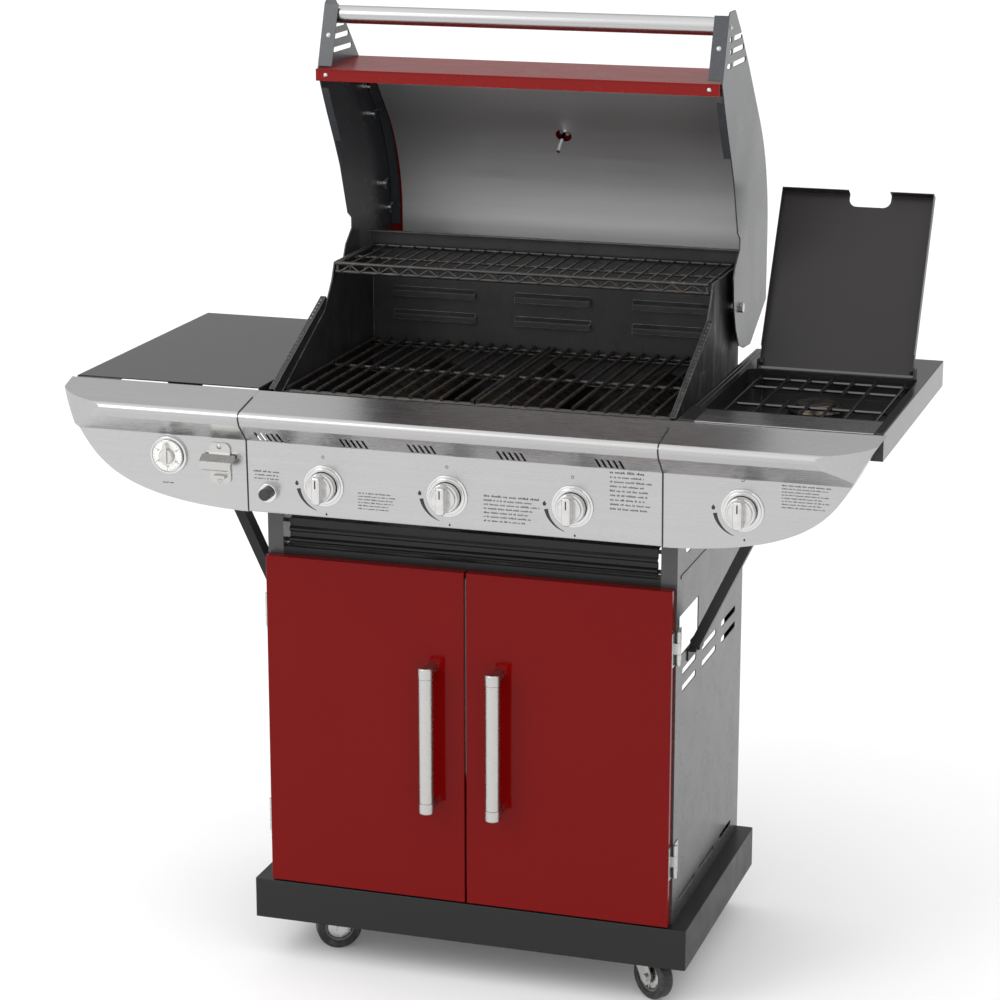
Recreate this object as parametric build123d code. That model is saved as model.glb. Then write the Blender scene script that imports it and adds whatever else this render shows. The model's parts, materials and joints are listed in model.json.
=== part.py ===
from build123d import *
import math
import os

os.makedirs("parts", exist_ok=True)

# Gas barbecue grill with its lid and its side-burner lid standing open and both cabinet doors shut.
# Units are millimetres. +Z is up, +X is the cook's right and the cook stands on the -Y side.
# While modelling, y = 0 is the plane of the door fronts; on export everything is moved along Y so
# that the origin lies on the floor under the middle of the whole grill.

# ---------------------------------------------------------------- driving dimensions
FIT = 0.05                       # radial clearance of a pin in its hole
GAP = 0.3                        # clearance between bodies that pass each other
SHEET = 1.5                      # sheet steel of the cabinet
THIN = 1.2                       # sheet steel of the small brackets

DOOR_PAIR_WIDTH = 630.0          # outer edge to outer edge of the closed doors
DOOR_GAP = 3.0
DOOR_BOTTOM = 131.0
DOOR_TOP = 652.0
DOOR_DEPTH = 17.0

BASE_HALF = 343.5                # base tray
BASE_FRONT = -0.5
BASE_REAR = 443.0
BASE_BOTTOM = 65.8
BASE_TOP = 129.0

CABINET_HALF = 317.5             # outer faces of the side panels
CABINET_FRONT = 18.5
CABINET_REAR = 439.5
CABINET_TOP = 866.0
POST_WIDTH = 24.5
REAR_POST_TOP = 762.0            # the rear posts stop under the firebox floor

CASTER_X = 260.0                 # swivel centres
CASTER_INSET = 56.0              # from the front and rear edge of the base
CASTER_TRAIL = 31.0
WHEEL_RADIUS = 35.5
WHEEL_WIDTH = 22.0

PANEL_HALF = 315.0               # centre control panel
PANEL_BOTTOM = 736.0
PANEL_STEP = 845.0
FACE_BOTTOM_Y = -61.0            # the flat face leans out a little towards its top
FACE_TOP_Y = -64.6
PANEL_TOP = 908.5
FASCIA_TIP = 626.0
FASCIA_REAR = -8.0               # rear edge of the side fascias' wrap-round
SHELF_HALF = 614.0
SHELF_INNER = 318.5
SHELF_FRONT = -4.0
SHELF_REAR = 494.5
SHELF_TOP = 909.5
SHELF_RIM = 40.0

KNOB_X = [-195.0, -5.0, 183.0, 430.0]
KNOB_Z = [785.0, 785.0, 785.0, 800.0]
KNOB_RADIUS = 21.5
KNOB_FRONT = -99.0
KNOB_TRAVEL = 4.0
BEZEL_RADIUS = 31.0
IGNITER_X = -281.0
IGNITER_Z = 769.0
IGNITER_RADIUS = 9.0
IGNITER_HOLE = 11.0
INLET_X = -271.5
INLET_Z = 766.0
TIMER_X = -438.5
TIMER_Z = 813.5
OPENER_X = -357.0

FIREBOX_HALF = 302.0             # outer faces of the firebox side walls
FIREBOX_FRONT = 45.0
FIREBOX_REAR = 443.0
FIREBOX_TOP = 1052.0
GRATE_TOP = 903.0
BURNER_X = [-190.0, 0.0, 190.0]

PIVOT_Y = 392.0                  # lid pivot bolts
PIVOT_Z = 994.0
LID_HALF = 315.5                 # outer faces of the lid end plates
LID_PLATE = 2.0
LID_ARC_Y = 297.0                # centre and radius of the lid's round back, lid open
LID_ARC_Z = 1082.0
LID_ARC_RADIUS = 274.0
LID_ARC_END = 42.2               # degrees, where the round back runs into the straight slope
LID_SLOPE = 117.6                # straight slope between the round back and the front
LINER_SLOPE = 70.0
LID_LIP_Y = 236.0
LID_FRONT_Z = 1353.0
LINER_INSET = 14.0
LINER_HALF = 290.0

BURNER_CENTRE = (472.0, 222.0)     # side burner in the shelf's sunk tray
RECESS_X = (340.0, 600.0)
RECESS_Y = (70.0, 350.0)
RECESS_FLOOR = 872.0
BURNER_LID_X = (355.0, 590.0)
BURNER_LID_HINGE = (365.0, 918.0)
BURNER_LID_LENGTH = 280.0
BURNER_LID_LEAN = 30.0           # degrees behind upright, lid open

FRONT_Y = KNOB_FRONT             # the grill's foremost and rearmost points
REAR_Y = LID_ARC_Y + LID_ARC_RADIUS + 1.0
CENTRE_Y = (FRONT_Y + REAR_Y) / 2

DOOR_HINGE_X = 321.0
DOOR_HINGE_Y = 18.0
HINGE_SPANS = [(205.0, 256.0), (536.0, 587.0)]


# ---------------------------------------------------------------- helpers
def box(x, y, z):
    """A block between the two x, the two y and the two z values."""
    size = (abs(x[1] - x[0]), abs(y[1] - y[0]), abs(z[1] - z[0]))
    return Pos((x[0] + x[1]) / 2, (y[0] + y[1]) / 2, (z[0] + z[1]) / 2) * Box(*size)


def rod(start, end, radius):
    """A round bar from one point to another."""
    axis = Vector(*end) - Vector(*start)
    bar = Pos(0, 0, axis.length / 2) * Cylinder(radius, axis.length)
    return Plane(origin=start, z_dir=axis) * bar


def tube(start, end, radius, wall):
    """A round pipe from one point to another."""
    return rod(start, end, radius) - rod(start, end, radius - wall)


def outline(*points):
    """A flat outline, always wound the same way round, so that it rises along its plane's normal."""
    following = points[1:] + points[:1]
    area = sum(here[0] * there[1] - there[0] * here[1] for here, there in zip(points, following))
    ordered = points if area > 0 else tuple(reversed(points))
    return Polygon(*ordered, align=None)


def raised(plane, section, height):
    """Extrude a flat section along the plane's normal."""
    return extrude(plane * section, amount=height, dir=tuple(plane.z_dir))


def side_plate(points, x):
    """A plate whose outline is given as (y, z) points, between the two x values."""
    plane = Plane(origin=(min(x), 0, 0), x_dir=(0, 1, 0), z_dir=(1, 0, 0))
    return raised(plane, outline(*points), abs(x[1] - x[0]))


def front_plate(points, y):
    """A plate whose outline is given as (x, z) points, between the two y values."""
    plane = Plane(origin=(0, max(y), 0), x_dir=(1, 0, 0), z_dir=(0, -1, 0))
    return raised(plane, outline(*points), abs(y[1] - y[0]))


def flat_plate(points, z):
    """A plate whose outline is given as (x, y) points, between the two z values."""
    plane = Plane(origin=(0, 0, min(z)))
    return raised(plane, outline(*points), abs(z[1] - z[0]))


def side_slot(y, z, x):
    """A round-ended slot that is cut through a side wall."""
    radius = (z[1] - z[0]) / 2
    middle = (z[0] + z[1]) / 2
    ends = [rod((x[0], end, middle), (x[1], end, middle), radius) for end in (y[0] + radius, y[1] - radius)]
    return box(x, (y[0] + radius, y[1] - radius), z) + ends[0] + ends[1]


def folded(points, thickness, bends):
    """The section of a folded sheet: an open outline thickened to its right-hand side.

    bends gives the inside radius at the numbered corners.
    """
    count = len(points)
    inner = []
    for index in range(count):
        before = points[max(index - 1, 0)]
        here = points[index]
        after = points[min(index + 1, count - 1)]
        normals = []
        for start, end in ((before, here), (here, after)):
            run = math.hypot(end[0] - start[0], end[1] - start[1])
            if run > 0:
                normals.append(((end[1] - start[1]) / run, -(end[0] - start[0]) / run))
        mean = (sum(n[0] for n in normals) / len(normals), sum(n[1] for n in normals) / len(normals))
        scale = thickness / (mean[0] ** 2 + mean[1] ** 2)
        inner.append((here[0] + mean[0] * scale, here[1] + mean[1] * scale))
    section = outline(*points, *reversed(inner))
    for index, radius in bends.items():
        (ay, az), (by, bz), (cy, cz) = points[index - 1], points[index], points[index + 1]
        turns_right = (by - ay) * (cz - bz) - (bz - az) * (cy - by) < 0
        outer_radius = radius + thickness if turns_right else radius
        inner_radius = radius if turns_right else radius + thickness
        for place, size in ((points[index], outer_radius), (inner[index], inner_radius)):
            corner = section.vertices().sort_by_distance((place[0], place[1], 0))[0]
            section = fillet(corner, size)
    return section


def folded_sheet(points, thickness, bends, x):
    """A folded sheet with its section in the Y-Z plane, between the two x values."""
    plane = Plane(origin=(min(x), 0, 0), x_dir=(0, 1, 0), z_dir=(1, 0, 0))
    return raised(plane, folded(points, thickness, bends), abs(x[1] - x[0]))


def mirrored(part):
    return mirror(part, Plane.YZ)


def on_both_sides(part):
    return [part, mirrored(part)]


def hex_head(centre, axis, radius, height):
    """A hexagon bolt head that grows from centre along axis."""
    plane = Plane(origin=centre, z_dir=axis)
    return extrude(plane * RegularPolygon(radius, 6), amount=height)


def dome_head(centre, axis, radius):
    """A low round screw head."""
    plane = Plane(origin=centre, z_dir=axis)
    height = radius * 0.5
    sphere_radius = (radius ** 2 + height ** 2) / (2 * height)
    ball = Pos(0, 0, height - sphere_radius) * Sphere(sphere_radius)
    cap = ball & (Pos(0, 0, height / 2) * Cylinder(radius * 1.01, height))
    return plane * cap


def save(name, *shapes):
    """Write one node, moved so that the origin is under the middle of the grill."""
    solids = []
    for shape in shapes:
        for item in (shape if isinstance(shape, (list, tuple)) else [shape]):
            solids.extend(item.solids())
    moved = [Pos(0, -CENTRE_Y, 0) * solid for solid in solids]
    node = moved[0] if len(moved) == 1 else Compound(children=moved)
    export_step(node, f"parts/{name}.step")


# ---------------------------------------------------------------- base and casters
def base_tray():
    outer = box((-BASE_HALF, BASE_HALF), (BASE_FRONT, BASE_REAR), (BASE_BOTTOM, BASE_TOP))
    outer = fillet(outer.edges().filter_by(Axis.Z), 3.0)
    inner = box((-BASE_HALF + SHEET, BASE_HALF - SHEET), (BASE_FRONT + SHEET, BASE_REAR - SHEET),
                (BASE_BOTTOM - 1, BASE_TOP - SHEET))
    shell = outer - inner
    shell = fillet(shell.edges().group_by(Axis.Z)[-1], 1.2)
    channels = []
    for y in (BASE_FRONT + CASTER_INSET, BASE_REAR - CASTER_INSET):
        top = BASE_TOP - SHEET
        run = (-BASE_HALF + SHEET, BASE_HALF - SHEET)
        channel = box(run, (y - 36, y + 36), (107, top)) - box(run, (y - 34, y + 34), (109, top + 1))
        channels.append(channel)
    return [shell + channels[0] + channels[1]]


def caster_places():
    """Name, swivel centre and direction in which the wheel trails, for the four casters."""
    front = BASE_FRONT + CASTER_INSET
    rear = BASE_REAR - CASTER_INSET
    return [("fl", -CASTER_X, front, 31.6), ("fr", CASTER_X, front, -35.0),
            ("rl", -CASTER_X, rear, 148.0), ("rr", CASTER_X, rear, 40.0)]


def caster_plate(x, y):
    plate = box((x - 29, x + 29), (y - 25, y + 25), (104, 107))
    plate = fillet(plate.edges().filter_by(Axis.Z), 5.0)
    race = Pos(x, y, 101) * Cylinder(20, 6) - Pos(x, y, 101) * Cylinder(6 + FIT, 12)
    bolts = [hex_head((x + dx, y + dy, 104), (0, 0, -1), 4.5, 3.0) for dx in (-22, 22) for dy in (-18, 18)]
    return [(plate - Pos(x, y, 101) * Cylinder(6 + FIT, 12)) + race] + bolts


def caster_fork(x, y, direction):
    crown = Pos(0, 0, 95) * Cylinder(21, 5.4)
    kingpin = Pos(0, 0, 98) * Cylinder(6, 11)
    leg_outline = [(-15, 94), (15, 94), (30, 70), (43, 42), (42, 30), (31, 22.5), (21, 29), (2, 60)]
    legs = []
    for side in (-1, 1):
        leg = front_plate(leg_outline, (side * 13.0, side * 15.5))
        legs.append(fillet(leg.edges().filter_by(Axis.Y), 3.0))
    bridge = box((-12, 12), (-15.5, 15.5), (88, 94))
    axle = rod((CASTER_TRAIL, -18, WHEEL_RADIUS), (CASTER_TRAIL, 18, WHEEL_RADIUS), 4.0)
    heads = [hex_head((CASTER_TRAIL, side * 15.5, WHEEL_RADIUS), (0, side, 0), 7.0, 4.0) for side in (-1, 1)]
    fork = crown + kingpin + legs[0] + legs[1] + bridge + axle + heads[0] + heads[1]
    return Pos(x, y, 0) * Rot(0, 0, direction) * fork


def caster_wheel(x, y, direction):
    tyre = Cylinder(WHEEL_RADIUS, WHEEL_WIDTH) - Cylinder(24, WHEEL_WIDTH + 1)
    tyre = fillet(tyre.edges().filter_by(GeomType.CIRCLE).group_by(SortBy.RADIUS)[-1], 4.5)
    hub = Cylinder(24, WHEEL_WIDTH - 6) - Cylinder(4 + FIT, WHEEL_WIDTH + 2)
    for side in (-1, 1):
        dish = Pos(0, 0, side * (WHEEL_WIDTH / 2 - 3)) * (Cylinder(20, 6) - Cylinder(9, 6))
        hub = hub - dish
    hub = hub + (Cylinder(9, WHEEL_WIDTH + 3) - Cylinder(4 + FIT, WHEEL_WIDTH + 5))
    place = Pos(x, y, 0) * Rot(0, 0, direction) * Pos(CASTER_TRAIL, 0, WHEEL_RADIUS) * Rot(90, 0, 0)
    return [place * tyre, place * hub]


# ---------------------------------------------------------------- cabinet
def side_panel():
    """The right side panel with its front post, cut-outs and louvres."""
    wall = (CABINET_HALF - SHEET, CABINET_HALF)
    cut = (CABINET_HALF - 3 * SHEET, CABINET_HALF + SHEET)
    sheet = box(wall, (CABINET_FRONT, CABINET_REAR), (BASE_TOP, CABINET_TOP))
    inner_edge = CABINET_HALF - POST_WIDTH
    posts = [((CABINET_FRONT, CABINET_FRONT + SHEET), (CABINET_FRONT, 34.0), CABINET_TOP),
             ((CABINET_REAR - SHEET, CABINET_REAR), (424.0, CABINET_REAR), REAR_POST_TOP)]
    for flange_y, return_y, top in posts:
        sheet = sheet + box((inner_edge, CABINET_HALF), flange_y, (BASE_TOP, top))
        sheet = sheet + box((inner_edge, inner_edge + SHEET), return_y, (BASE_TOP, top))
    opening = box(cut, (66, 400), (690, 842))
    sheet = sheet - fillet(opening.edges().filter_by(Axis.X), 14.0)
    sheet = sheet - box(cut, (36, 150), (542, 604))
    for y in ((57, 141), (178, 267), (300, 393)):
        for z in ((482, 492), (508, 518)):
            sheet = sheet - side_slot(y, z, cut)
    for y in ((57, 155), (181, 277), (317, 392)):
        sheet = sheet - side_slot(y, (151, 159), cut)
    bead = side_slot((40, 418), (659, 665), (CABINET_HALF, CABINET_HALF + 1.0))
    return sheet + bead


def front_rail():
    inner = CABINET_HALF - POST_WIDTH
    rail = box((-inner, inner), (CABINET_FRONT, 46), (638, 663))
    rail = rail - box((-inner - 1, inner + 1), (CABINET_FRONT + SHEET, 47), (636, 663 - SHEET))
    lower = box((-inner, inner), (CABINET_FRONT, 44), (BASE_TOP, 145))
    lower = lower - box((-inner - 1, inner + 1), (CABINET_FRONT + SHEET, 45), (BASE_TOP - 1, 145 - SHEET))
    return [rail, lower]


def rear_braces():
    braces = []
    for low, high in ((BASE_TOP, 165.0), (596.0, 628.0)):
        inner = CABINET_HALF - POST_WIDTH
        flat = box((-inner, inner), (CABINET_REAR - SHEET, CABINET_REAR), (low, high))
        lip = box((-inner, inner), (CABINET_REAR - 14, CABINET_REAR), (high - SHEET, high))
        braces.append(flat + lip)
    return braces


def front_valance():
    """Ribbed heat strip between the posts under the control panel, with its two hangers."""
    half = 286.0
    ribbed = [(30, 664), (30, 668), (26, 671), (26, 674), (30, 677), (30, 684), (26, 687), (26, 690),
              (30, 693), (30, 705), (44, 707)]
    plane = Plane(origin=(-half, 0, 0), x_dir=(0, 1, 0), z_dir=(1, 0, 0))
    strip = raised(plane, folded(ribbed, THIN, {}), 2 * half)
    inner = CABINET_HALF - POST_WIDTH
    tabs = []
    for side in (-1, 1):
        for z in ((668, 674), (698, 704)):
            tab = box((side * (half - 12), side * inner), (31.2, 33.5), z)
            tabs.append(tab)
    for part in tabs:
        strip = strip + part
    return strip


def door_magnets():
    """Two magnetic catches under the front rail, clear of the closed doors."""
    catches = []
    for x in (-22.0, 22.0):
        body = box((x - 14, x + 14), (CABINET_FRONT + 0.2, 34), (622, 637.9))
        plates = box((x - 10, x + 10), (17.6, CABINET_FRONT + 0.2), (625, 629))
        catches.append(body + plates)
    return catches


def right_door():
    x = (DOOR_GAP / 2, DOOR_PAIR_WIDTH / 2)
    outer = box(x, (0, DOOR_DEPTH), (DOOR_BOTTOM, DOOR_TOP))
    outer = fillet(outer.edges().group_by(Axis.Y)[0], 1.6)
    inner = box((x[0] + THIN, x[1] - THIN), (THIN, DOOR_DEPTH + 1), (DOOR_BOTTOM + THIN, DOOR_TOP - THIN))
    pan = outer - inner
    flange = box(x, (DOOR_DEPTH - THIN, DOOR_DEPTH), (DOOR_BOTTOM, DOOR_TOP))
    opening = box((x[0] + 14, x[1] - 14), (0.5, 20), (DOOR_BOTTOM + 14, DOOR_TOP - 14))
    pan = pan + (flange - opening)
    stiffener = box((x[0] + 60, x[1] - 60), (THIN, 9), (380, 400))
    stiffener = stiffener - box((x[0], x[1]), (THIN, 7.8), (382, 398))
    strike = box((10, 34), (DOOR_DEPTH - 2 * THIN, DOOR_DEPTH - THIN), (620, DOOR_TOP - THIN))
    return pan + stiffener + strike


def door_handle(x):
    """Half-round bar between two end caps that turn back to the door."""
    back = -27.0
    radius = 11.5
    low, high = 280.0, 510.0
    cap_length = 17.0
    section = Circle(radius) & (Pos(0, -radius) * Rectangle(2 * radius, 2 * radius))
    place = Pos(x, back, 0)
    length = high - low - 2 * cap_length - 1.2
    bar = place * Pos(0, 0, low + cap_length + 0.6) * extrude(section, amount=length)
    pieces = [bar]
    bigger = Circle(radius + 0.5) & (Pos(0, -radius - 0.5) * Rectangle(2 * radius + 1, 2 * radius + 1))
    for end in (low, high - cap_length):
        cap = place * Pos(0, 0, end) * extrude(bigger, amount=cap_length)
        outer_end = low if end == low else high
        cap = fillet(cap.edges().group_by(Axis.Z)[0 if end == low else -1], 2.5)
        inward = 1 if end == low else -1
        post = box((x - 8, x + 8), (back - 1, 0), (outer_end + 2 * inward, outer_end + 15 * inward))
        post = fillet(post.edges().filter_by(Axis.Y), 3.0)
        pieces.append(cap + post)
    for joint in (low + cap_length, high - cap_length - 0.6):
        pieces.append(place * Pos(0, 0, joint) * extrude(scale(section, 0.93), amount=0.6))
    return pieces


def hinge_segments(low, high):
    """The z ranges of the lower, middle and upper knuckle of one hinge."""
    third = (high - low) / 3
    return (low, low + third - 0.2), (low + third + 0.2, high - third - 0.2), (high - third + 0.2, high)


def door_hinge_leaf(low, high):
    """The right door's leaf with the middle knuckle."""
    middle = hinge_segments(low, high)[1]
    outer = DOOR_PAIR_WIDTH / 2
    knuckle = rod((DOOR_HINGE_X, DOOR_HINGE_Y, middle[0]), (DOOR_HINGE_X, DOOR_HINGE_Y, middle[1]), 3.2)
    web = box((outer, DOOR_HINGE_X), (14.9, 16.4), middle)
    leaf = box((outer, outer + THIN), (3, 16.4), (low, high))
    bore = rod((DOOR_HINGE_X, DOOR_HINGE_Y, low), (DOOR_HINGE_X, DOOR_HINGE_Y, high), 1.5 + FIT)
    return knuckle + web + leaf - bore


def frame_hinge_leaf(low, high):
    """The right post's leaf with the lower and upper knuckle and the pin."""
    bottom, middle, top = hinge_segments(low, high)
    leaf = box((CABINET_HALF, CABINET_HALF + THIN), (23, 44), (low, high))
    for span in (bottom, top):
        leaf = leaf + rod((DOOR_HINGE_X, DOOR_HINGE_Y, span[0]), (DOOR_HINGE_X, DOOR_HINGE_Y, span[1]), 3.2)
        leaf = leaf + box((CABINET_HALF + 0.2, DOOR_HINGE_X), (18.6, 20.4), span)
        leaf = leaf + box((CABINET_HALF, CABINET_HALF + THIN), (18.6, 24), span)
    pin = rod((DOOR_HINGE_X, DOOR_HINGE_Y, low - 1), (DOOR_HINGE_X, DOOR_HINGE_Y, high + 1), 1.5)
    screws = [dome_head((CABINET_HALF + THIN, 33, z), (1, 0, 0), 3.5) for z in (low + 10, high - 10)]
    return [leaf + pin] + screws


# ---------------------------------------------------------------- control panel and fascias
def panel_face(z):
    """y of the panel's flat face at height z."""
    return FACE_BOTTOM_Y + (FACE_TOP_Y - FACE_BOTTOM_Y) * (z - PANEL_BOTTOM) / (PANEL_STEP - PANEL_BOTTOM)


def face_plane(x, z):
    """A plane that lies on the panel's slightly leaning face, with its normal towards the cook."""
    lean = (0, FACE_TOP_Y - FACE_BOTTOM_Y, PANEL_STEP - PANEL_BOTTOM)
    normal = Vector(1, 0, 0).cross(Vector(*lean))
    if normal.Y > 0:
        normal = -normal
    return Plane(origin=(x, panel_face(z), z), x_dir=(1, 0, 0), z_dir=normal)


def panel_sheet(x):
    """The centre panel: bottom return, face, step, rounded nose and top return."""
    points = [(-44.0, PANEL_BOTTOM), (FACE_BOTTOM_Y, PANEL_BOTTOM), (FACE_TOP_Y, PANEL_STEP), (-91.0, 872.0),
              (-99.5, 891.0), (-8.0, PANEL_TOP), (-6.0, 896.0)]
    bends = {1: 1.5, 2: 2.5, 3: 6.0, 4: 8.0, 5: 1.5}
    return folded_sheet(points, SHEET, bends, x)


def panel_vents(centre):
    """Five slanted louvre cuts above the knobs."""
    cuts = []
    for index in range(5):
        x = centre + (index - 2) * 8.6
        cut = front_plate([(x - 3.4, 862), (x + 0.4, 862), (x + 3.6, 846.5), (x - 0.2, 846.5)], (-100, -62))
        cuts.append(cut)
    return cuts


def control_panel():
    panel = panel_sheet((-PANEL_HALF + 0.2, PANEL_HALF - 0.2))
    for centre in (-276.0, -144.0, -40.0, 95.0, 240.0):
        for cut in panel_vents(centre):
            panel = panel - cut
    for x, z in list(zip(KNOB_X, KNOB_Z))[:3]:
        panel = panel - rod((x, -80, z), (x, -50, z), 7.0)
    panel = panel - rod((IGNITER_X, -80, IGNITER_Z), (IGNITER_X, -50, IGNITER_Z), IGNITER_HOLE)
    return panel


def fascia_solid(inset):
    """The right fascia's envelope, shrunk by inset on the outside faces."""
    below = PANEL_BOTTOM - 5
    section = [(panel_face(below) + inset, below), (FACE_TOP_Y + inset, PANEL_STEP + inset * 0.4),
               (-91.0 + inset, 872.0 + inset * 0.5), (-99.5 + inset * 1.5, 891.0 - inset * 0.6),
               (FASCIA_REAR + 3.0, PANEL_TOP - inset), (40.0, PANEL_TOP - inset), (40.0, below)]
    body = side_plate(section, (PANEL_HALF + 0.4, FASCIA_TIP + 5))
    edges = body.edges().filter_by(Axis.X)
    radii = {1: 3.0, 2: 7.0 - inset, 3: 9.5 - inset}
    for index, radius in radii.items():
        place = section[index]
        nearest = edges.sort_by_distance((PANEL_HALF + 150, place[0], place[1]))[0]
        body = fillet(body.edges().filter_by(Axis.X).sort_by_distance(nearest.center())[0], radius)
    # seen from the front the lower edge sweeps up to the tip
    sweep = Spline((326, 736 + inset), (374, 739 + inset), (422, 745 + inset), (470, 756 + inset),
                   (518, 776 + inset), (550, 800 + inset), (581, 842 + inset), (604, 884 + inset * 0.5),
                   (FASCIA_TIP - inset, PANEL_TOP + 8))
    edge_loop = [sweep, Line((FASCIA_TIP - inset, PANEL_TOP + 8), (300, PANEL_TOP + 8)),
                 Line((300, PANEL_TOP + 8), (300, 736 + inset)), Line((300, 736 + inset), (326, 736 + inset))]
    plane = Plane(origin=(0, 60, 0), x_dir=(1, 0, 0), z_dir=(0, -1, 0))
    front_shape = raised(plane, make_face(edge_loop), 200)
    # seen from above the nose curves back to the tip
    nose = Spline((470, -120), (540, -93 + inset), (600, -62 + inset), (FASCIA_TIP - 3 - inset, 10))
    plan = [nose, Line((FASCIA_TIP - 3 - inset, 10), (FASCIA_TIP - 3 - inset, 60)),
            Line((FASCIA_TIP - 3 - inset, 60), (290, 60)), Line((290, 60), (290, -120)),
            Line((290, -120), (470, -120))]
    plan_shape = raised(Plane(origin=(0, 0, 700)), make_face(plan), 260)
    return body & front_shape & plan_shape


def right_fascia():
    shell = fascia_solid(0.0) - fascia_solid(SHEET)
    keep = box((300, 640), (-120, FASCIA_REAR), (700, 930))
    shell = shell & keep
    end_wall = (PANEL_HALF + 0.4, PANEL_HALF + 0.4 + SHEET)
    end_outline = [(-61, PANEL_BOTTOM), (-64, PANEL_STEP), (-70, 852), (-20, 852), (-20, PANEL_BOTTOM)]
    end = side_plate(end_outline, end_wall)
    return shell + (end & fascia_solid(0.2))


def plain_fascia_right():
    """The right fascia with the burner knob's hole and the flat strip in front of the side burner."""
    fascia = right_fascia()
    fascia = fascia - rod((KNOB_X[3], -80, KNOB_Z[3]), (KNOB_X[3], -50, KNOB_Z[3]), 7.0)
    strip = box((345, 600), (FASCIA_REAR, 66), (PANEL_TOP - 0.2, PANEL_TOP + 1.3))
    return [fascia, strip]


def disc(radius, low, high):
    """A disc about the local z axis between two heights, with its upper rim eased."""
    solid = Pos(0, 0, (low + high) / 2) * Cylinder(radius, high - low)
    return fillet(solid.edges().group_by(Axis.Z)[-1], min(1.4, (high - low) / 3))


def knob_bezel(x, z):
    """A stepped ring round one control."""
    ring = disc(BEZEL_RADIUS, 0, 2.4) + disc(BEZEL_RADIUS - 3.5, 0, 5.0)
    ring = ring - Pos(0, 0, 3) * Cylinder(KNOB_RADIUS + 1.2, 12)
    return face_plane(x, z) * ring


def panel_bezels():
    rings = []
    for x, z in zip(KNOB_X, KNOB_Z):
        rings.append(knob_bezel(x, z))
    x, z = IGNITER_X, IGNITER_Z
    collar = face_plane(x, z) * disc(14.5, 0, 9.0)
    housing = rod((x, -56, z), (x, -28, z), 13.0)
    throat = rod((x, -66, z), (x, -50, z), IGNITER_HOLE - 0.1)
    rings.append(collar + throat + housing - rod((x, -100, z), (x, -32, z), IGNITER_RADIUS + FIT))
    dial_ring = disc(29.0, 0, 5.0) - Pos(0, 0, 7) * Cylinder(26.0, 8)
    timer_ring = face_plane(TIMER_X, TIMER_Z) * dial_ring
    face = panel_face(TIMER_Z)
    spindle = rod((TIMER_X, face - 2, TIMER_Z), (TIMER_X, face - 12, TIMER_Z), 2.5)
    rings.append(timer_ring + spindle)
    return rings


def valve_stem(x, z):
    stem = rod((x, -20, z), (x, KNOB_FRONT + 8, z), 4.0)
    return stem + rod((x, -27 - KNOB_TRAVEL - 6, z), (x, -27 - KNOB_TRAVEL - 2, z), 6.0)


def knob(x, z):
    """Skirted knob with a raised grip bar; it turns on its valve stem."""
    rear = panel_face(z - KNOB_RADIUS) - 6.0
    skirt = rod((x, rear, z), (x, -80, z), KNOB_RADIUS)
    skirt = fillet(skirt.edges().group_by(Axis.Y)[0], 2.0)
    face = rod((x, -79, z), (x, -83, z), 17.5)
    face = fillet(face.edges().group_by(Axis.Y)[0], 1.5)
    grip = box((x - 6.5, x + 6.5), (KNOB_FRONT, -79), (z - 20.5, z + 20.5))
    grip = fillet(grip.edges().filter_by(Axis.Y), 4.0)
    grip = fillet(grip.edges().group_by(Axis.Y)[0], 2.5)
    bore = rod((x, -60, z), (x, KNOB_FRONT + 7.5, z), 4.0 + FIT)
    return skirt + face + grip - bore


def igniter_button():
    x, z = IGNITER_X, IGNITER_Z
    button = rod((x, -42, z), (x, -84, z), IGNITER_RADIUS)
    return fillet(button.edges().group_by(Axis.Y)[0], 2.0)


def timer_dial():
    x, z = TIMER_X, TIMER_Z
    face = panel_face(z)
    disc = rod((x, face - 4.3, z), (x, face - 8.0, z), 24.0)
    disc = fillet(disc.edges().group_by(Axis.Y)[0], 1.2)
    hub = rod((x, face - 8, z), (x, face - 16, z), 11.0)
    hub = fillet(hub.edges().group_by(Axis.Y)[0], 2.0)
    pointer = box((x - 3, x + 3), (face - 18, face - 8), (z - 12, z + 20))
    pointer = fillet(pointer.edges().filter_by(Axis.Y), 2.0)
    return disc + hub + pointer - rod((x, face, z), (x, face - 12.5, z), 2.5 + FIT)


def bottle_opener():
    """Cast wall opener: a round-cornered plate with a hood and a tooth, held by two screws."""
    plate = box((-17, 17), (-31, 31), (0, 3.0))
    plate = fillet(plate.edges().filter_by(Axis.Z), 9.0)
    hood_section = outline((14, 3), (15, 9), (7, 22), (-4, 24), (-7, 19), (-3, 17.5), (2, 17), (7, 8), (7, 3))
    hood = raised(Plane(origin=(-25, 0, 0), x_dir=(0, 1, 0), z_dir=(1, 0, 0)), hood_section, 50)
    hood = hood & (Pos(0, 30, 12) * Cylinder(41, 40))
    tooth = box((-9, 9), (-22, -17), (2.5, 9))
    place = face_plane(OPENER_X, 807.0)
    screws = [place * dome_head((0, y, 3.0), (0, 0, 1), 4.0) for y in (-26, 26)]
    return [place * (plate + hood + tooth)] + screws


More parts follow.
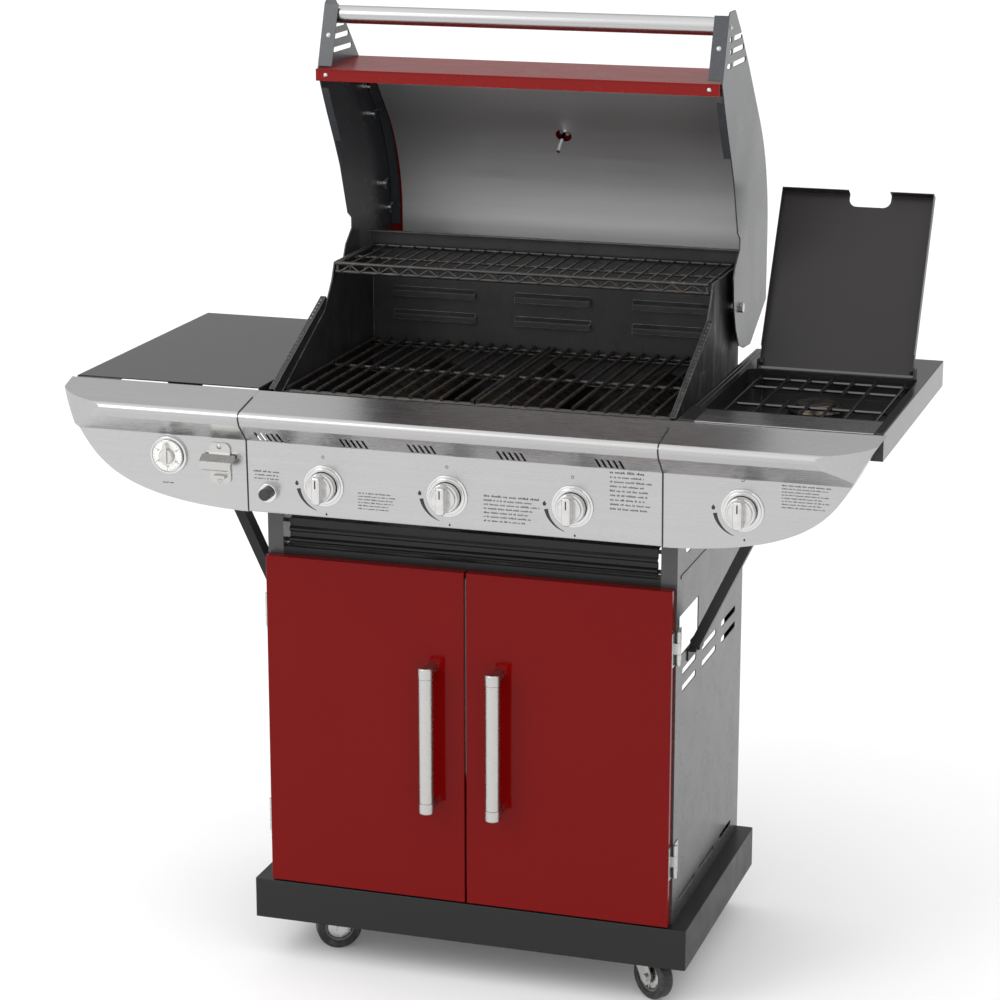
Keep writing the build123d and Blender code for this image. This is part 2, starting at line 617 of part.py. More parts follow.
def gas_manifold():
    """Cross pipe, four valves, burner orifices, the side burner's feed and the hose inlet fitting."""
    pipe_z = 785.0
    pipe_y = -14.0
    solids = tube((-262, pipe_y, pipe_z), (300, pipe_y, pipe_z), 8.0, 1.6)
    solids = solids + rod((-262, pipe_y, pipe_z), (-256, pipe_y, pipe_z), 8.0)
    for x, z in zip(KNOB_X, KNOB_Z):
        body = box((x - 11, x + 11), (-27, -4), (z - 13, z + 13))
        body = fillet(body.edges().filter_by(Axis.Y), 3.0)
        solids = solids + body
    solids = solids + tube((300, pipe_y, pipe_z), (430, pipe_y, pipe_z), 5.0, 1.2)
    for x in BURNER_X:
        nearest = min(KNOB_X[:3], key=lambda knob_x: abs(knob_x - x))
        solids = solids + rod((nearest, -6, pipe_z + 8), (x, 22, 824), 4.0)
    solids = solids + rod((KNOB_X[3], -6, 805), (KNOB_X[3], 30, 850), 4.0)
    # elbow that turns the inlet to the rear, below the firebox
    elbow = box((-282, -261), (pipe_y - 10, pipe_y + 10), (INLET_Z - 10, pipe_z + 10))
    elbow = fillet(elbow.edges().filter_by(Axis.Y), 4.0)
    spigot_y = pipe_y + 10
    spigot = rod((INLET_X, spigot_y - 1, INLET_Z), (INLET_X, spigot_y + 30, INLET_Z), 6.5)
    spigot = spigot + hex_head((INLET_X, spigot_y, INLET_Z), (0, 1, 0), 9.5, 9.0)
    spigot = spigot - rod((INLET_X, spigot_y + 9, INLET_Z), (INLET_X, spigot_y + 31, INLET_Z), 3.5)
    solids = solids + elbow + spigot
    for x, z in zip(KNOB_X, KNOB_Z):
        solids = solids - rod((x, -40, z), (x, -20 + KNOB_TRAVEL + 2, z), 4.0 + FIT)
    return solids


# ---------------------------------------------------------------- shelves and side burner
def shelf_shell(x, y, rim):
    outer = box(x, y, (SHELF_TOP - rim, SHELF_TOP))
    outer = fillet(outer.edges().group_by(Axis.Z)[-1], 2.0)
    depth = (SHELF_TOP - rim - 1, SHELF_TOP - SHEET)
    inner = box((x[0] + SHEET, x[1] - SHEET), (y[0] + SHEET, y[1] - SHEET), depth)
    return outer - inner


def left_shelf():
    """Plain shelf; its front edge tucks in behind the fascia."""
    shelf = shelf_shell((SHELF_INNER, SHELF_HALF), (SHELF_FRONT, SHELF_REAR), SHELF_RIM)
    lip = box((SHELF_INNER, SHELF_HALF), (SHELF_FRONT - 1, SHELF_FRONT + 3), (SHELF_TOP - 3, SHELF_TOP + 1))
    return mirrored(shelf - lip)


def right_shelf():
    """Shelf with a sunk tray for the side burner, ribs beside it and the lid's hinge brackets."""
    shelf = shelf_shell((SHELF_INNER, SHELF_HALF), (SHELF_FRONT, SHELF_REAR), SHELF_RIM)
    strip_seat = box((344.5, 600.5), (SHELF_FRONT - 1, 66.3), (PANEL_TOP - 0.4, SHELF_TOP + 1))
    well = box(RECESS_X, RECESS_Y, (RECESS_FLOOR, SHELF_TOP + 2))
    well = fillet(well.edges().filter_by(Axis.Z), 10.0)
    tray = box((RECESS_X[0] - SHEET, RECESS_X[1] + SHEET), (RECESS_Y[0] - SHEET, RECESS_Y[1] + SHEET),
               (RECESS_FLOOR - SHEET, SHELF_TOP - 0.5))
    tray = fillet(tray.edges().filter_by(Axis.Z), 10.0 + SHEET)
    shelf = shelf - strip_seat + tray - well
    shelf = shelf - rod((*BURNER_CENTRE, 860), (*BURNER_CENTRE, 890), 30.0)
    shelf = shelf + box((344.5, 600.5), (SHELF_FRONT, 66.3), (PANEL_TOP - 2.4, PANEL_TOP - 0.4))
    hinge_y, hinge_z = BURNER_LID_HINGE
    for x in ((BURNER_LID_X[0] - 3.8, BURNER_LID_X[0] - 0.8), (BURNER_LID_X[1] + 0.8, BURNER_LID_X[1] + 3.8)):
        ear_outline = [(hinge_y - 9, SHELF_TOP - 1), (hinge_y - 7, hinge_z + 5),
                       (hinge_y + 7, hinge_z + 5), (hinge_y + 9, SHELF_TOP - 1)]
        ear = side_plate(ear_outline, x)
        shelf = shelf + ear
        inward = (x[0] + 2.8, x[0] + 8) if x[0] < 400 else (x[1] - 8, x[1] - 2.8)
        shelf = shelf + rod((inward[0], hinge_y, hinge_z), (inward[1], hinge_y, hinge_z), 2.5)
    return shelf


def side_burner():
    x, y = BURNER_CENTRE
    cup = Pos(x, y, 862) * Cylinder(24, 30)
    skirt = Pos(x, y, 880) * Cylinder(41, 8) - Pos(x, y, 877) * Cylinder(37, 6)
    head = Pos(x, y, 887) * Cone(41, 34, 6)
    cap = Pos(x, y, 892) * Cylinder(30, 4)
    cap = fillet(cap.edges().group_by(Axis.Z)[-1], 1.5)
    burner = cup + skirt + head + cap
    ports = 36
    for index in range(ports):
        angle = 2 * math.pi * index / ports
        tip = (x + 45 * math.cos(angle), y + 45 * math.sin(angle), 881)
        root = (x + 38.5 * math.cos(angle), y + 38.5 * math.sin(angle), 881)
        burner = burner - rod(root, tip, 1.3)
    mixer = rod((x, y - 20, 855), (KNOB_X[3], 36, 852), 9.0)
    return burner + mixer


def side_burner_grate():
    """Wire trivet over the side burner, standing in the sunk tray."""
    x, y = BURNER_CENTRE
    thick, thin = 2.8, 2.3
    top = 902.0
    low = top - 4.2
    low_x, high_x = RECESS_X[0] + 24, RECESS_X[1] - 16
    low_y, high_y = RECESS_Y[0] + 20, RECESS_Y[1] - 14
    trivet = None
    for row_y in (low_y, y - 58, y + 58, high_y):
        wire = rod((low_x - 3, row_y, low), (high_x + 3, row_y, low), thick)
        trivet = wire if trivet is None else trivet + wire
    for column_x in (low_x, x - 66, x + 66, high_x):
        trivet = trivet + rod((column_x, low_y - 3, top), (column_x, high_y + 3, top), thin)
    for column_x in (x - 33, x, x + 33):
        trivet = trivet + rod((column_x, low_y - 3, top), (column_x, y - 30, top), thin)
        trivet = trivet + rod((column_x, y + 30, top), (column_x, high_y + 3, top), thin)
    for leg_x in (low_x, high_x):
        for leg_y in (low_y, high_y):
            trivet = trivet + rod((leg_x, leg_y, RECESS_FLOOR), (leg_x, leg_y, top - 0.5), 1.9)
    return trivet


def side_burner_lid():
    """Flat lid with a shallow rim and a finger notch; modelled shut, then swung open."""
    hinge_y, hinge_z = BURNER_LID_HINGE
    front = hinge_y - BURNER_LID_LENGTH
    rear = hinge_y + 6
    outer = box(BURNER_LID_X, (front, rear), (hinge_z - 13, hinge_z + 4))
    outer = fillet(outer.edges().group_by(Axis.Z)[-1], 1.5)
    inner = box((BURNER_LID_X[0] + THIN, BURNER_LID_X[1] - THIN), (front + THIN, rear + 1),
                (hinge_z - 14, hinge_z + 4 - THIN))
    lid = outer - inner
    middle = (BURNER_LID_X[0] + BURNER_LID_X[1]) / 2 + 18
    notch = box((middle - 32, middle + 32), (front - 1, front + 21), (hinge_z - 20, hinge_z + 10))
    notch = fillet(notch.edges().filter_by(Axis.Z).group_by(Axis.Y)[-1], 12.0)
    lid = lid - notch
    rear_trim = side_plate([(hinge_y - 22, hinge_z - 20), (hinge_y - 22, hinge_z - 7.5),
                            (hinge_y + 2, hinge_z - 6),
                            (hinge_y + 10, hinge_z + 1), (hinge_y + 10, hinge_z - 20)],
                           (BURNER_LID_X[0] - 1, BURNER_LID_X[1] + 1))
    lid = lid - rear_trim
    for x in (BURNER_LID_X[0], BURNER_LID_X[1] - 5):
        lid = lid + rod((x, hinge_y, hinge_z), (x + 5, hinge_y, hinge_z), 5.5)
    left_bore = (BURNER_LID_X[0] - 1, BURNER_LID_X[0] + 5.6)
    right_bore = (BURNER_LID_X[1] - 5.6, BURNER_LID_X[1] + 1)
    for start, end in (left_bore, right_bore):
        lid = lid - rod((start, hinge_y, hinge_z), (end, hinge_y, hinge_z), 2.5 + FIT)
    swing = Pos(0, hinge_y, hinge_z) * Rot(-(90 + BURNER_LID_LEAN), 0, 0) * Pos(0, -hinge_y, -hinge_z)
    return swing * lid


def shelf_strut(underside):
    """Rectangular tube from the right side panel up to a bracket under the shelf."""
    start = (CABINET_HALF + 9, 105, 545)
    end = (478, 105, 866)
    direction = Vector(*end) - Vector(*start)
    plane = Plane(origin=start, x_dir=(0, 1, 0), z_dir=direction)
    outer = extrude(plane * Rectangle(24, 15), amount=direction.length)
    inner = extrude(plane * Rectangle(24 - 2 * SHEET, 15 - 2 * SHEET), amount=direction.length)
    strut = outer - inner
    strut = strut - box((300, CABINET_HALF + 0.2), (0, 300), (500, 700))
    foot = box((CABINET_HALF, CABINET_HALF + 2.0), (84, 126), (522, 541.5))
    foot = foot + box((CABINET_HALF, CABINET_HALF + 12), (92, 118), (534, 541.5))
    strut = strut + box((CABINET_HALF + 2, CABINET_HALF + 17), (93, 117), (538, 552))
    head = box((465, 504), (84, 126), (852, underside)) - box((463, 506), (86, 124), (850, underside - 2))
    return strut + foot + head


# ---------------------------------------------------------------- firebox
def louvre_fields():
    """x ranges of the embossed louvres in the firebox back wall."""
    return (-264.0, -127.0), (-60.0, 64.0), (133.0, 255.0)


def firebox():
    inner = FIREBOX_HALF - 2.0
    outline = [(FIREBOX_FRONT, 796), (FIREBOX_FRONT, 896), (226, 985), (258, 1026), (270, FIREBOX_TOP),
               (FIREBOX_REAR, FIREBOX_TOP), (FIREBOX_REAR, 796)]
    walls = []
    for side in (-1, 1):
        wall = side_plate(outline, (side * inner, side * FIREBOX_HALF))
        walls.append(wall)
    rear = box((-inner, inner), (FIREBOX_REAR - 2, FIREBOX_REAR), (796, FIREBOX_TOP))
    front = box((-inner, inner), (FIREBOX_FRONT, FIREBOX_FRONT + 2), (796, 896))
    body = walls[0] + walls[1] + rear + front
    # embossed louvres: a slit with a proud lip over it
    for span in louvre_fields():
        for z in (938.0, 976.0):
            slit_y = (FIREBOX_REAR - 5, FIREBOX_REAR + 3)
            body = body - box((span[0] + 7, span[1] - 7), slit_y, (z - 7, z - 2))
            hood_line = [(FIREBOX_REAR - 1, z + 8.8), (FIREBOX_REAR - 8, z + 3), (FIREBOX_REAR - 8, z - 5)]
            hood = folded_sheet(hood_line, THIN, {1: 1.0}, (span[0], span[1]))
            body = body + hood
            for end in (span[0], span[1] - THIN):
                cheek = side_plate([(FIREBOX_REAR - 1, z + 7.5), (FIREBOX_REAR - 7.8, z + 2),
                                    (FIREBOX_REAR - 7.8, z - 4), (FIREBOX_REAR - 1, z - 6)],
                                   (end + 0.3, end + THIN - 0.3))
                body = body + cheek
    # sloping floor with the drain slot
    slot = 60.0
    drain_x = -100.0
    for end, edge in ((-inner, drain_x - slot), (inner, drain_x + slot)):
        low, high = 766.0, 798.0
        plate = front_plate([(end, high), (edge, low), (edge, low - 2), (end, high - 2)],
                            (FIREBOX_FRONT, FIREBOX_REAR))
        body = body + plate
    for y in ((FIREBOX_FRONT, FIREBOX_FRONT + 2), (FIREBOX_REAR - 2, FIREBOX_REAR)):
        end_outline = [(-inner, 798), (inner, 798), (drain_x + slot, 764), (drain_x - slot, 764)]
        body = body + front_plate(end_outline, y)
    # ledges that carry the grates, the flame tents and the warming rack
    for y in ((FIREBOX_FRONT + 2, FIREBOX_FRONT + 14), (FIREBOX_REAR - 14, FIREBOX_REAR - 2)):
        for top in (GRATE_TOP - 12.0, 846.0):
            body = body + box((-inner, inner), y, (top - 2, top))
    for x in BURNER_X:
        body = body - rod((x, FIREBOX_FRONT - 1, 824), (x, FIREBOX_FRONT + 3, 824), 13.0)
    for side in (-1, 1):
        for y in (285.0, 425.0):
            peg = rod((side * inner, y, 1034), (side * (inner - 12), y, 1034), 3.0)
            body = body + peg
    # top flange over the side panels, which carries the firebox in the cabinet
    for side in (-1, 1):
        bracket = box((side * FIREBOX_HALF, side * (CABINET_HALF - SHEET)), (90, 400), (850, 852))
        body = body + bracket
    return body


def firebox_wing():
    """Right wind guard: a slanting plate with an outward flange that has a row of small holes."""
    x = (FIREBOX_HALF, FIREBOX_HALF + THIN)
    plate = side_plate([(18, 893), (18, 905), (235, 1004), (245, 992), (250, 930), (90, 872), (40, 872)], x)
    slope = math.atan2(99.0, 217.0)
    length = math.hypot(217.0, 99.0)
    plane = Plane(origin=(x[0], 18, 905), x_dir=(0, math.cos(slope), math.sin(slope)),
                  z_dir=(0, -math.sin(slope), math.cos(slope)))
    flange = extrude(plane * Pos(length / 2, -4.5) * Rectangle(length, 9.0), amount=-THIN)
    for index in range(24):
        along = 10 + index * (length - 20) / 23
        hole = extrude(plane * Pos(along, -5.5) * Circle(1.4), amount=3, both=True)
        flange = flange - hole
    bolts = [dome_head((x[1], y, z), (1, 0, 0), 3.5) for y, z in ((90, 900), (200, 960))]
    holes = [rod((x[0] - 3, y, 930), (x[1] + 1, y, 930), 3.2) for y in (196, 214)]
    wing = plate + flange
    for hole in holes:
        wing = wing - hole
    return [wing] + bolts


def rear_baffle():
    """Strip that closes the gap between the firebox and the open lid, bolted inside the rear wall."""
    sheet = (FIREBOX_REAR - 2 - SHEET, FIREBOX_REAR - 2)
    strip = box((-304, 304), sheet, (FIREBOX_TOP, 1075))
    lip = box((-304, 304), (FIREBOX_REAR - 12, FIREBOX_REAR - 2), (1073.5, 1075))
    foot = box((-299, 299), sheet, (FIREBOX_TOP - 10, FIREBOX_TOP))
    return strip + lip + foot


def cooking_grate():
    """The right-hand cooking grate: bars from front to back on three cross bars."""
    left, right = 1.5, FIREBOX_HALF - 4.5
    front, rear = FIREBOX_FRONT + 4, FIREBOX_REAR - 4
    bars = 13
    bar_radius = 3.0
    cross_radius = 3.4
    top = GRATE_TOP - bar_radius
    low = top - bar_radius - cross_radius + 0.8
    grate = None
    for index in range(bars):
        x = left + bar_radius + index * (right - left - 2 * bar_radius) / (bars - 1)
        bar = rod((x, front + 1, top), (x, rear - 1, top), bar_radius)
        grate = bar if grate is None else grate + bar
    for y in (front + 4, (front + rear) / 2, rear - 4):
        grate = grate + rod((left, y, low), (right, y, low), cross_radius)
    return grate


def heat_tents():
    tents = []
    for x in BURNER_X:
        section = [(x - 62, 847.8), (x, 875.8), (x + 62, 847.8), (x + 62, 846.2), (x, 874.2), (x - 62, 846.2)]
        tent = front_plate(section, (FIREBOX_FRONT + 6, FIREBOX_REAR - 6))
        for offset in (-32, 32):
            for y in (110, 190, 270, 350):
                tent = tent - Pos(x + offset, y, 860) * Cylinder(5, 30)
        tents.append(tent)
    return tents


def main_burners():
    burners = []
    for x in BURNER_X:
        pipe = tube((x, 26, 824), (x, 420, 824), 12.5, 1.2)
        end = rod((x, 418, 824), (x, 421, 824), 12.5)
        tab = box((x - 10, x + 10), (420, FIREBOX_REAR - 2), (822, 826))
        burner = pipe + end + tab
        for index in range(20):
            y = 80 + index * 17
            for side in (-1, 1):
                port = rod((x + side * 9, y, 828), (x + side * 15, y, 831), 1.2)
                burner = burner - port
        burner = burner - box((x - 5, x + 5), (30, 40), (810, 816))
        burners.append(burner)
    return burners


def warming_rack():
    """Wire rack over the rear of the grates: double front rail, cross wires and end loops."""
    half = FIREBOX_HALF - 5.5
    front, rear = 264.0, 434.0
    top = 1051.0
    thick, thin = 3.0, 1.7
    rack = rod((-half, front, top), (half, front, top), thick)
    rack = rack + rod((-half, rear, top), (half, rear, top), thick)
    rack = rack + rod((-half, front + 2, top - 13), (half, front + 2, top - 13), thick)
    rack = rack + rod((-half, (front + rear) / 2, top - 4.4), (half, (front + rear) / 2, top - 4.4), 2.6)
    for x in (-half + thick, half - thick):
        rack = rack + rod((x, front, top + 0.3), (x, rear, top + 0.3), 2.4)
        rack = rack + rod((x, front + 1, top), (x, front + 1, top - 13), 2.2)
    wires = 25
    for index in range(1, wires):
        x = -half + index * 2 * half / wires
        rack = rack + rod((x, front - 0.5, top + 0.4), (x, rear + 0.5, top + 0.4), thin)
        rack = rack + rod((x, front + 0.4, top - 1), (x, front + 1.6, top - 12), 1.5)
    return rack


def grease_tray():
    """Shallow tray under the drain slot, drawn out to the rear on two rails."""
    x = (-168.0, -32.0)
    y = (60.0, 436.0)
    z = (742.0, 760.0)
    outer = box(x, y, z)
    inner = box((x[0] + THIN, x[1] - THIN), (y[0] + THIN, y[1] - THIN), (z[0] + THIN, z[1] + 1))
    tray = outer - inner
    rim = box((x[0] - 8, x[1] + 8), y, (z[1] - THIN, z[1]))
    rim = rim - box((x[0] + 0.5, x[1] - 0.5), (y[0] + 0.5, y[1] - 0.5), (z[1] - 3, z[1] + 1))
    pull = box((x[0] + 30, x[1] - 30), (y[1], y[1] + 14), (z[1] - THIN, z[1]))
    drain = Pos(-100, 250, z[0]) * Cylinder(9, 10)
    hanger = []
    for side in (-1, 1):
        hanger.append(box((-100 + side * 30, -100 + side * 31.2), (240, 260), (724, z[0])))
        hanger.append(box((-100 + side * 30, -100 + side * 56), (240, 260), (722.8, 724)))
    tray = tray + rim + pull - drain
    return tray + hanger[0] + hanger[1] + hanger[2] + hanger[3]


def grease_tray_rails():
    """Two hooked rails under the firebox floor in which the tray's rim slides."""
    rails = []
    for side in (-1, 1):
        x = -100.0 + side * 68
        outer = x + side * 10
        shelf = box((x + side * 3, outer + side * 1.5), (60, 430), (755.0, 756.5))
        upright = box((outer, outer + side * 1.5), (60, 430), (755.0, 779.0))
        rails.append(shelf + upright)
    return rails


def grease_cup():
    cup = Pos(-100, 250, 680) * Cone(44, 54, 84)
    cup = cup - Pos(-100, 250, 681.2) * Cone(42.8, 52.8, 84)
    rim = Pos(-100, 250, 721.5) * Cylinder(56, 2) - Pos(-100, 250, 721.5) * Cylinder(52.5, 3)
    return cup + rim


# ---------------------------------------------------------------- lid, drawn open
def lid_section(inset, thickness, slope_length):
    """The lid's curved section in (y, z) as a face: front, slope, round back and rear drop."""
    arc = math.radians(LID_ARC_END)
    radius = LID_ARC_RADIUS - inset
    far = 900.0
    ring = Pos(LID_ARC_Y, LID_ARC_Z) * (Circle(radius) - Circle(radius - thickness))
    wedge = Pos(LID_ARC_Y, LID_ARC_Z) * outline((0, 0), (far, 0), (far * math.cos(arc), far * math.sin(arc)))
    round_back = ring & wedge
    start = (LID_ARC_Y + radius * math.cos(arc), LID_ARC_Z + radius * math.sin(arc))
    along = (-math.sin(arc), math.cos(arc))
    inward = (-math.cos(arc), -math.sin(arc))
    end = (start[0] + along[0] * slope_length, start[1] + along[1] * slope_length)
    slope = outline(start, end, (end[0] + inward[0] * thickness, end[1] + inward[1] * thickness),
                    (start[0] + inward[0] * thickness, start[1] + inward[1] * thickness))
    return round_back + slope, end, inward


def extruded_side(section, x):
    plane = Plane(origin=(min(x), 0, 0), x_dir=(0, 1, 0), z_dir=(1, 0, 0))
    return raised(plane, section, abs(x[1] - x[0]))


def lid_skin():
    """The painted outer sheet: lip, front, slope, round back and rear apron."""
    half = LID_HALF - LID_PLATE
    section, _, _ = lid_section(0.0, SHEET, LID_SLOPE)
    corner_y = 421.0
    front_middle = Pos((LID_LIP_Y + corner_y) / 2, LID_FRONT_Z - SHEET / 2)
    front = front_middle * Rectangle(corner_y - LID_LIP_Y + 1.5, SHEET)
    lip = Pos(LID_LIP_Y + SHEET / 2, LID_FRONT_Z - 9) * Rectangle(SHEET, 18)
    back_y = LID_ARC_Y + LID_ARC_RADIUS
    drop = Pos(back_y - SHEET / 2, 1028) * Rectangle(SHEET, 110)
    apron = outline((back_y - SHEET, 975), (back_y, 973), (468.6, 922.6), (468, 924))
    skin = extruded_side(section + front + lip + drop + apron, (-half, half))
    return skin - rod((-3, 480, 1207), (-3, 560, 1261.6), 3.2)


def lid_liner():
    """Stainless inner sheet with a turned lower edge."""
    section, end, inward = lid_section(LINER_INSET, 1.0, LINER_SLOPE)
    arc_start = LID_ARC_Y + LID_ARC_RADIUS - LINER_INSET
    drop = Pos(arc_start - 0.5, LID_ARC_Z - 40) * Rectangle(1.0, 82)
    reach = LINER_INSET - SHEET - 1.8
    tip = (end[0] - inward[0] * reach, end[1] - inward[1] * reach)
    edge = outline(end, tip, (tip[0] - 0.8, tip[1] - 0.8), (end[0] - 0.8, end[1] - 0.8))
    liner = extruded_side(section + drop + edge, (-LINER_HALF, LINER_HALF))
    return liner - rod((-3, 480, 1207), (-3, 560, 1261.6), 13.0)


def lid_end_outline():
    back_y = LID_ARC_Y + LID_ARC_RADIUS + 1.0
    curve = []
    steps = 8
    for index in range(steps + 1):
        angle = math.radians(LID_ARC_END * (1 - index / steps))
        radius = LID_ARC_RADIUS + 1.0
        curve.append((LID_ARC_Y + radius * math.cos(angle), LID_ARC_Z + radius * math.sin(angle)))
    front = [(346, 1046), (356, 1064), (384, 1086), (384, 1102), (368, 1112), (337, 1192), (314, 1233),
             (284, 1282), (262, 1321), (247, 1350), (250, 1356), (283, 1447), (290, 1452), (322, 1452)]
    lower = [(back_y, 974), (467, 922), (420, 925), (389, 935), (366, 965), (352, 1000)]
    return front + [(361, 1418), (422, 1354.5)] + curve + lower


def lid_end_plate():
    """Right end plate with its handle ear, vents, folded front edge and pivot hole."""
    x = (LID_HALF - LID_PLATE, LID_HALF)
    plate = side_plate(lid_end_outline(), x)
    cut = (LID_HALF - 2 * LID_PLATE, LID_HALF + LID_PLATE)
    rows = [((289, 303), (1407, 1415)), ((316, 367), (1407, 1415)),
            ((292, 305), (1389, 1397)), ((311, 380), (1389, 1397)),
            ((274, 301), (1369, 1377)), ((313, 394), (1369, 1377))]
    for y, z in rows:
        plate = plate - side_slot(y, z, cut)
    plate = plate - rod((x[0] - 1, PIVOT_Y, PIVOT_Z), (x[1] + 1, PIVOT_Y, PIVOT_Z), 4 + FIT)
    ear_outline = [(250, 1356), (283, 1447), (284.4, 1446.4), (251.6, 1355.4)]
    ear = side_plate(ear_outline, (LID_HALF - 22.5, LID_HALF))
    fold = side_plate([(262, 1321), (284, 1282), (314, 1233),
                       (315.6, 1234), (285.6, 1283), (263.6, 1322)],
                      (LID_HALF - 12, LID_HALF))
    return plate + ear + fold


def lid_handle():
    half = LID_HALF - LID_PLATE
    centre = (295.0, 1430.0)
    bar = tube((-half + 0.2, *centre), (half - 0.2, *centre), 13.7, 1.5)
    ends = [rod((side * (half - 0.2), *centre), (side * (half - 6), *centre), 12.2) for side in (-1, 1)]
    return [bar + ends[0] + ends[1]]


def thermometer():
    """Dial on the outside of the lid with its stem through the liner, at right angles to the skin."""
    angle = math.atan2(1235.0 - LID_ARC_Z, 521.0 - LID_ARC_Y)
    outward = (0.0, math.cos(angle), math.sin(angle))

    def at(distance):
        return (-3.0, LID_ARC_Y + distance * outward[1], LID_ARC_Z + distance * outward[2])

    bezel = rod(at(LID_ARC_RADIUS - 5.0), at(LID_ARC_RADIUS + 12.0), 34.0)
    recess = rod(at(LID_ARC_RADIUS + 9.5), at(LID_ARC_RADIUS + 14.0), 29.5)
    bezel = bezel - recess - rod((-60, LID_ARC_Y, LID_ARC_Z), (60, LID_ARC_Y, LID_ARC_Z), LID_ARC_RADIUS)
    stem = rod(at(LID_ARC_RADIUS - 52.0), at(LID_ARC_RADIUS + 2.0), 3.0)
    pointer = rod(at(LID_ARC_RADIUS + 9.0), at(LID_ARC_RADIUS + 11.0), 3.5)
    nut = hex_head(at(LID_ARC_RADIUS - SHEET - 0.6), tuple(-value for value in outward), 9.0, 5.0)
    return bezel + stem + nut + pointer


def lid_fasteners():
    """Screws and wing nuts that hold the skin, liner and handle ears."""
    pieces = []
    for side in (-1, 1):
        inner = side * (LID_HALF - LID_PLATE)
        for y, z in ((459, 1308), (477, 1263), (526, 1144), (549, 1101)):
            pieces.append(hex_head((inner, y - 10, z - 6), (-side, 0, 0), 5.0, 4.0))
            pieces.append(rod((inner - side * 4, y - 10, z - 6), (inner - side * 10, y - 10, z - 6), 2.4))
        pieces.append(dome_head((side * 304, 266.2, 1401), (0, -0.94, 0.341), 4.0))
        pieces.append(dome_head((side * 298, LID_LIP_Y, 1344), (0, -1, 0), 3.5))
        pieces.append(dome_head((side * LID_HALF, 295, 1430), (side, 0, 0), 5.0))
    return pieces


def lid_pivot_bolts():
    """Shoulder bolts from the firebox walls through the lid's end plates."""
    pieces = []
    for side in (-1, 1):
        start = (side * FIREBOX_HALF, PIVOT_Y, PIVOT_Z)
        shank = rod(start, (side * (LID_HALF + GAP + 1), PIVOT_Y, PIVOT_Z), 4.0)
        spacer = rod(start, (side * (LID_HALF - LID_PLATE - GAP), PIVOT_Y, PIVOT_Z), 8.0)
        head = hex_head((side * (LID_HALF + GAP), PIVOT_Y, PIVOT_Z), (side, 0, 0), 8.0, 5.0)
        pieces.append(shank + spacer + head)
    return pieces


# ---------------------------------------------------------------- write every node
save("base_tray", base_tray())
plates = []
for name, x, y, direction in caster_places():
    plates.extend(caster_plate(x, y))
    save(f"caster_fork_{name}", caster_fork(x, y, direction))
    save(f"caster_wheel_{name}", caster_wheel(x, y, direction))
save("caster_plates", plates)

save("side_panel_right", side_panel())
save("side_panel_left", mirrored(side_panel()))
save("cabinet_rails", front_rail(), rear_braces(), front_valance())
save("door_magnets", door_magnets())

door = right_door()
save("right_door", door)
save("left_door", mirrored(door))
save("right_door_handle", door_handle(52.0))
save("left_door_handle", door_handle(-52.0))
save("right_hinge_leaves", [door_hinge_leaf(*span) for span in HINGE_SPANS])
save("left_hinge_leaves", [mirrored(door_hinge_leaf(*span)) for span in HINGE_SPANS])
frame_leaves = []
for span in HINGE_SPANS:
    for piece in frame_hinge_leaf(*span):
        frame_leaves.extend(on_both_sides(piece))
save("frame_hinge_leaves", frame_leaves)

save("control_panel", control_panel())
save("left_fascia", mirrored(right_fascia()))
save("right_fascia", plain_fascia_right())
save("panel_bezels", panel_bezels())
for number, (x, z) in enumerate(zip(KNOB_X, KNOB_Z), start=1):
    save(f"valve_stem_{number}", valve_stem(x, z))
    save(f"knob_{number}", knob(x, z))
save("igniter_button", igniter_button())
save("timer_dial", timer_dial())
save("bottle_opener", bottle_opener())
save("gas_manifold", gas_manifold())

save("left_shelf", left_shelf())
save("right_shelf", right_shelf())
save("side_burner", side_burner())
save("side_burner_grate", side_burner_grate())
save("side_burner_lid", side_burner_lid())
save("shelf_struts", shelf_strut(RECESS_FLOOR - SHEET), mirrored(shelf_strut(SHELF_TOP - SHEET)))

save("firebox", firebox(), grease_tray_rails())
wings = []
for piece in firebox_wing():
    wings.extend(on_both_sides(piece))
save("firebox_wings", wings)
save("rear_baffle", rear_baffle())
grate = cooking_grate()
save("cooking_grate_right", grate)
save("cooking_grate_left", mirrored(grate))
save("heat_tents", heat_tents())
save("main_burners", main_burners())
save("warming_rack", warming_rack())
save("grease_tray", grease_tray())
save("grease_cup", grease_cup())

save("lid_skin", lid_skin())
save("lid_liner", lid_liner())
save("lid_end_plates", on_both_sides(lid_end_plate()))
save("lid_handle", lid_handle())
save("thermometer", thermometer())
save("lid_fasteners", lid_fasteners())
save("lid_pivot_bolts", lid_pivot_bolts())
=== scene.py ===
import bmesh
import bpy
import json
import math
import random
from mathutils import Matrix, Vector
from mathutils.bvhtree import BVHTree


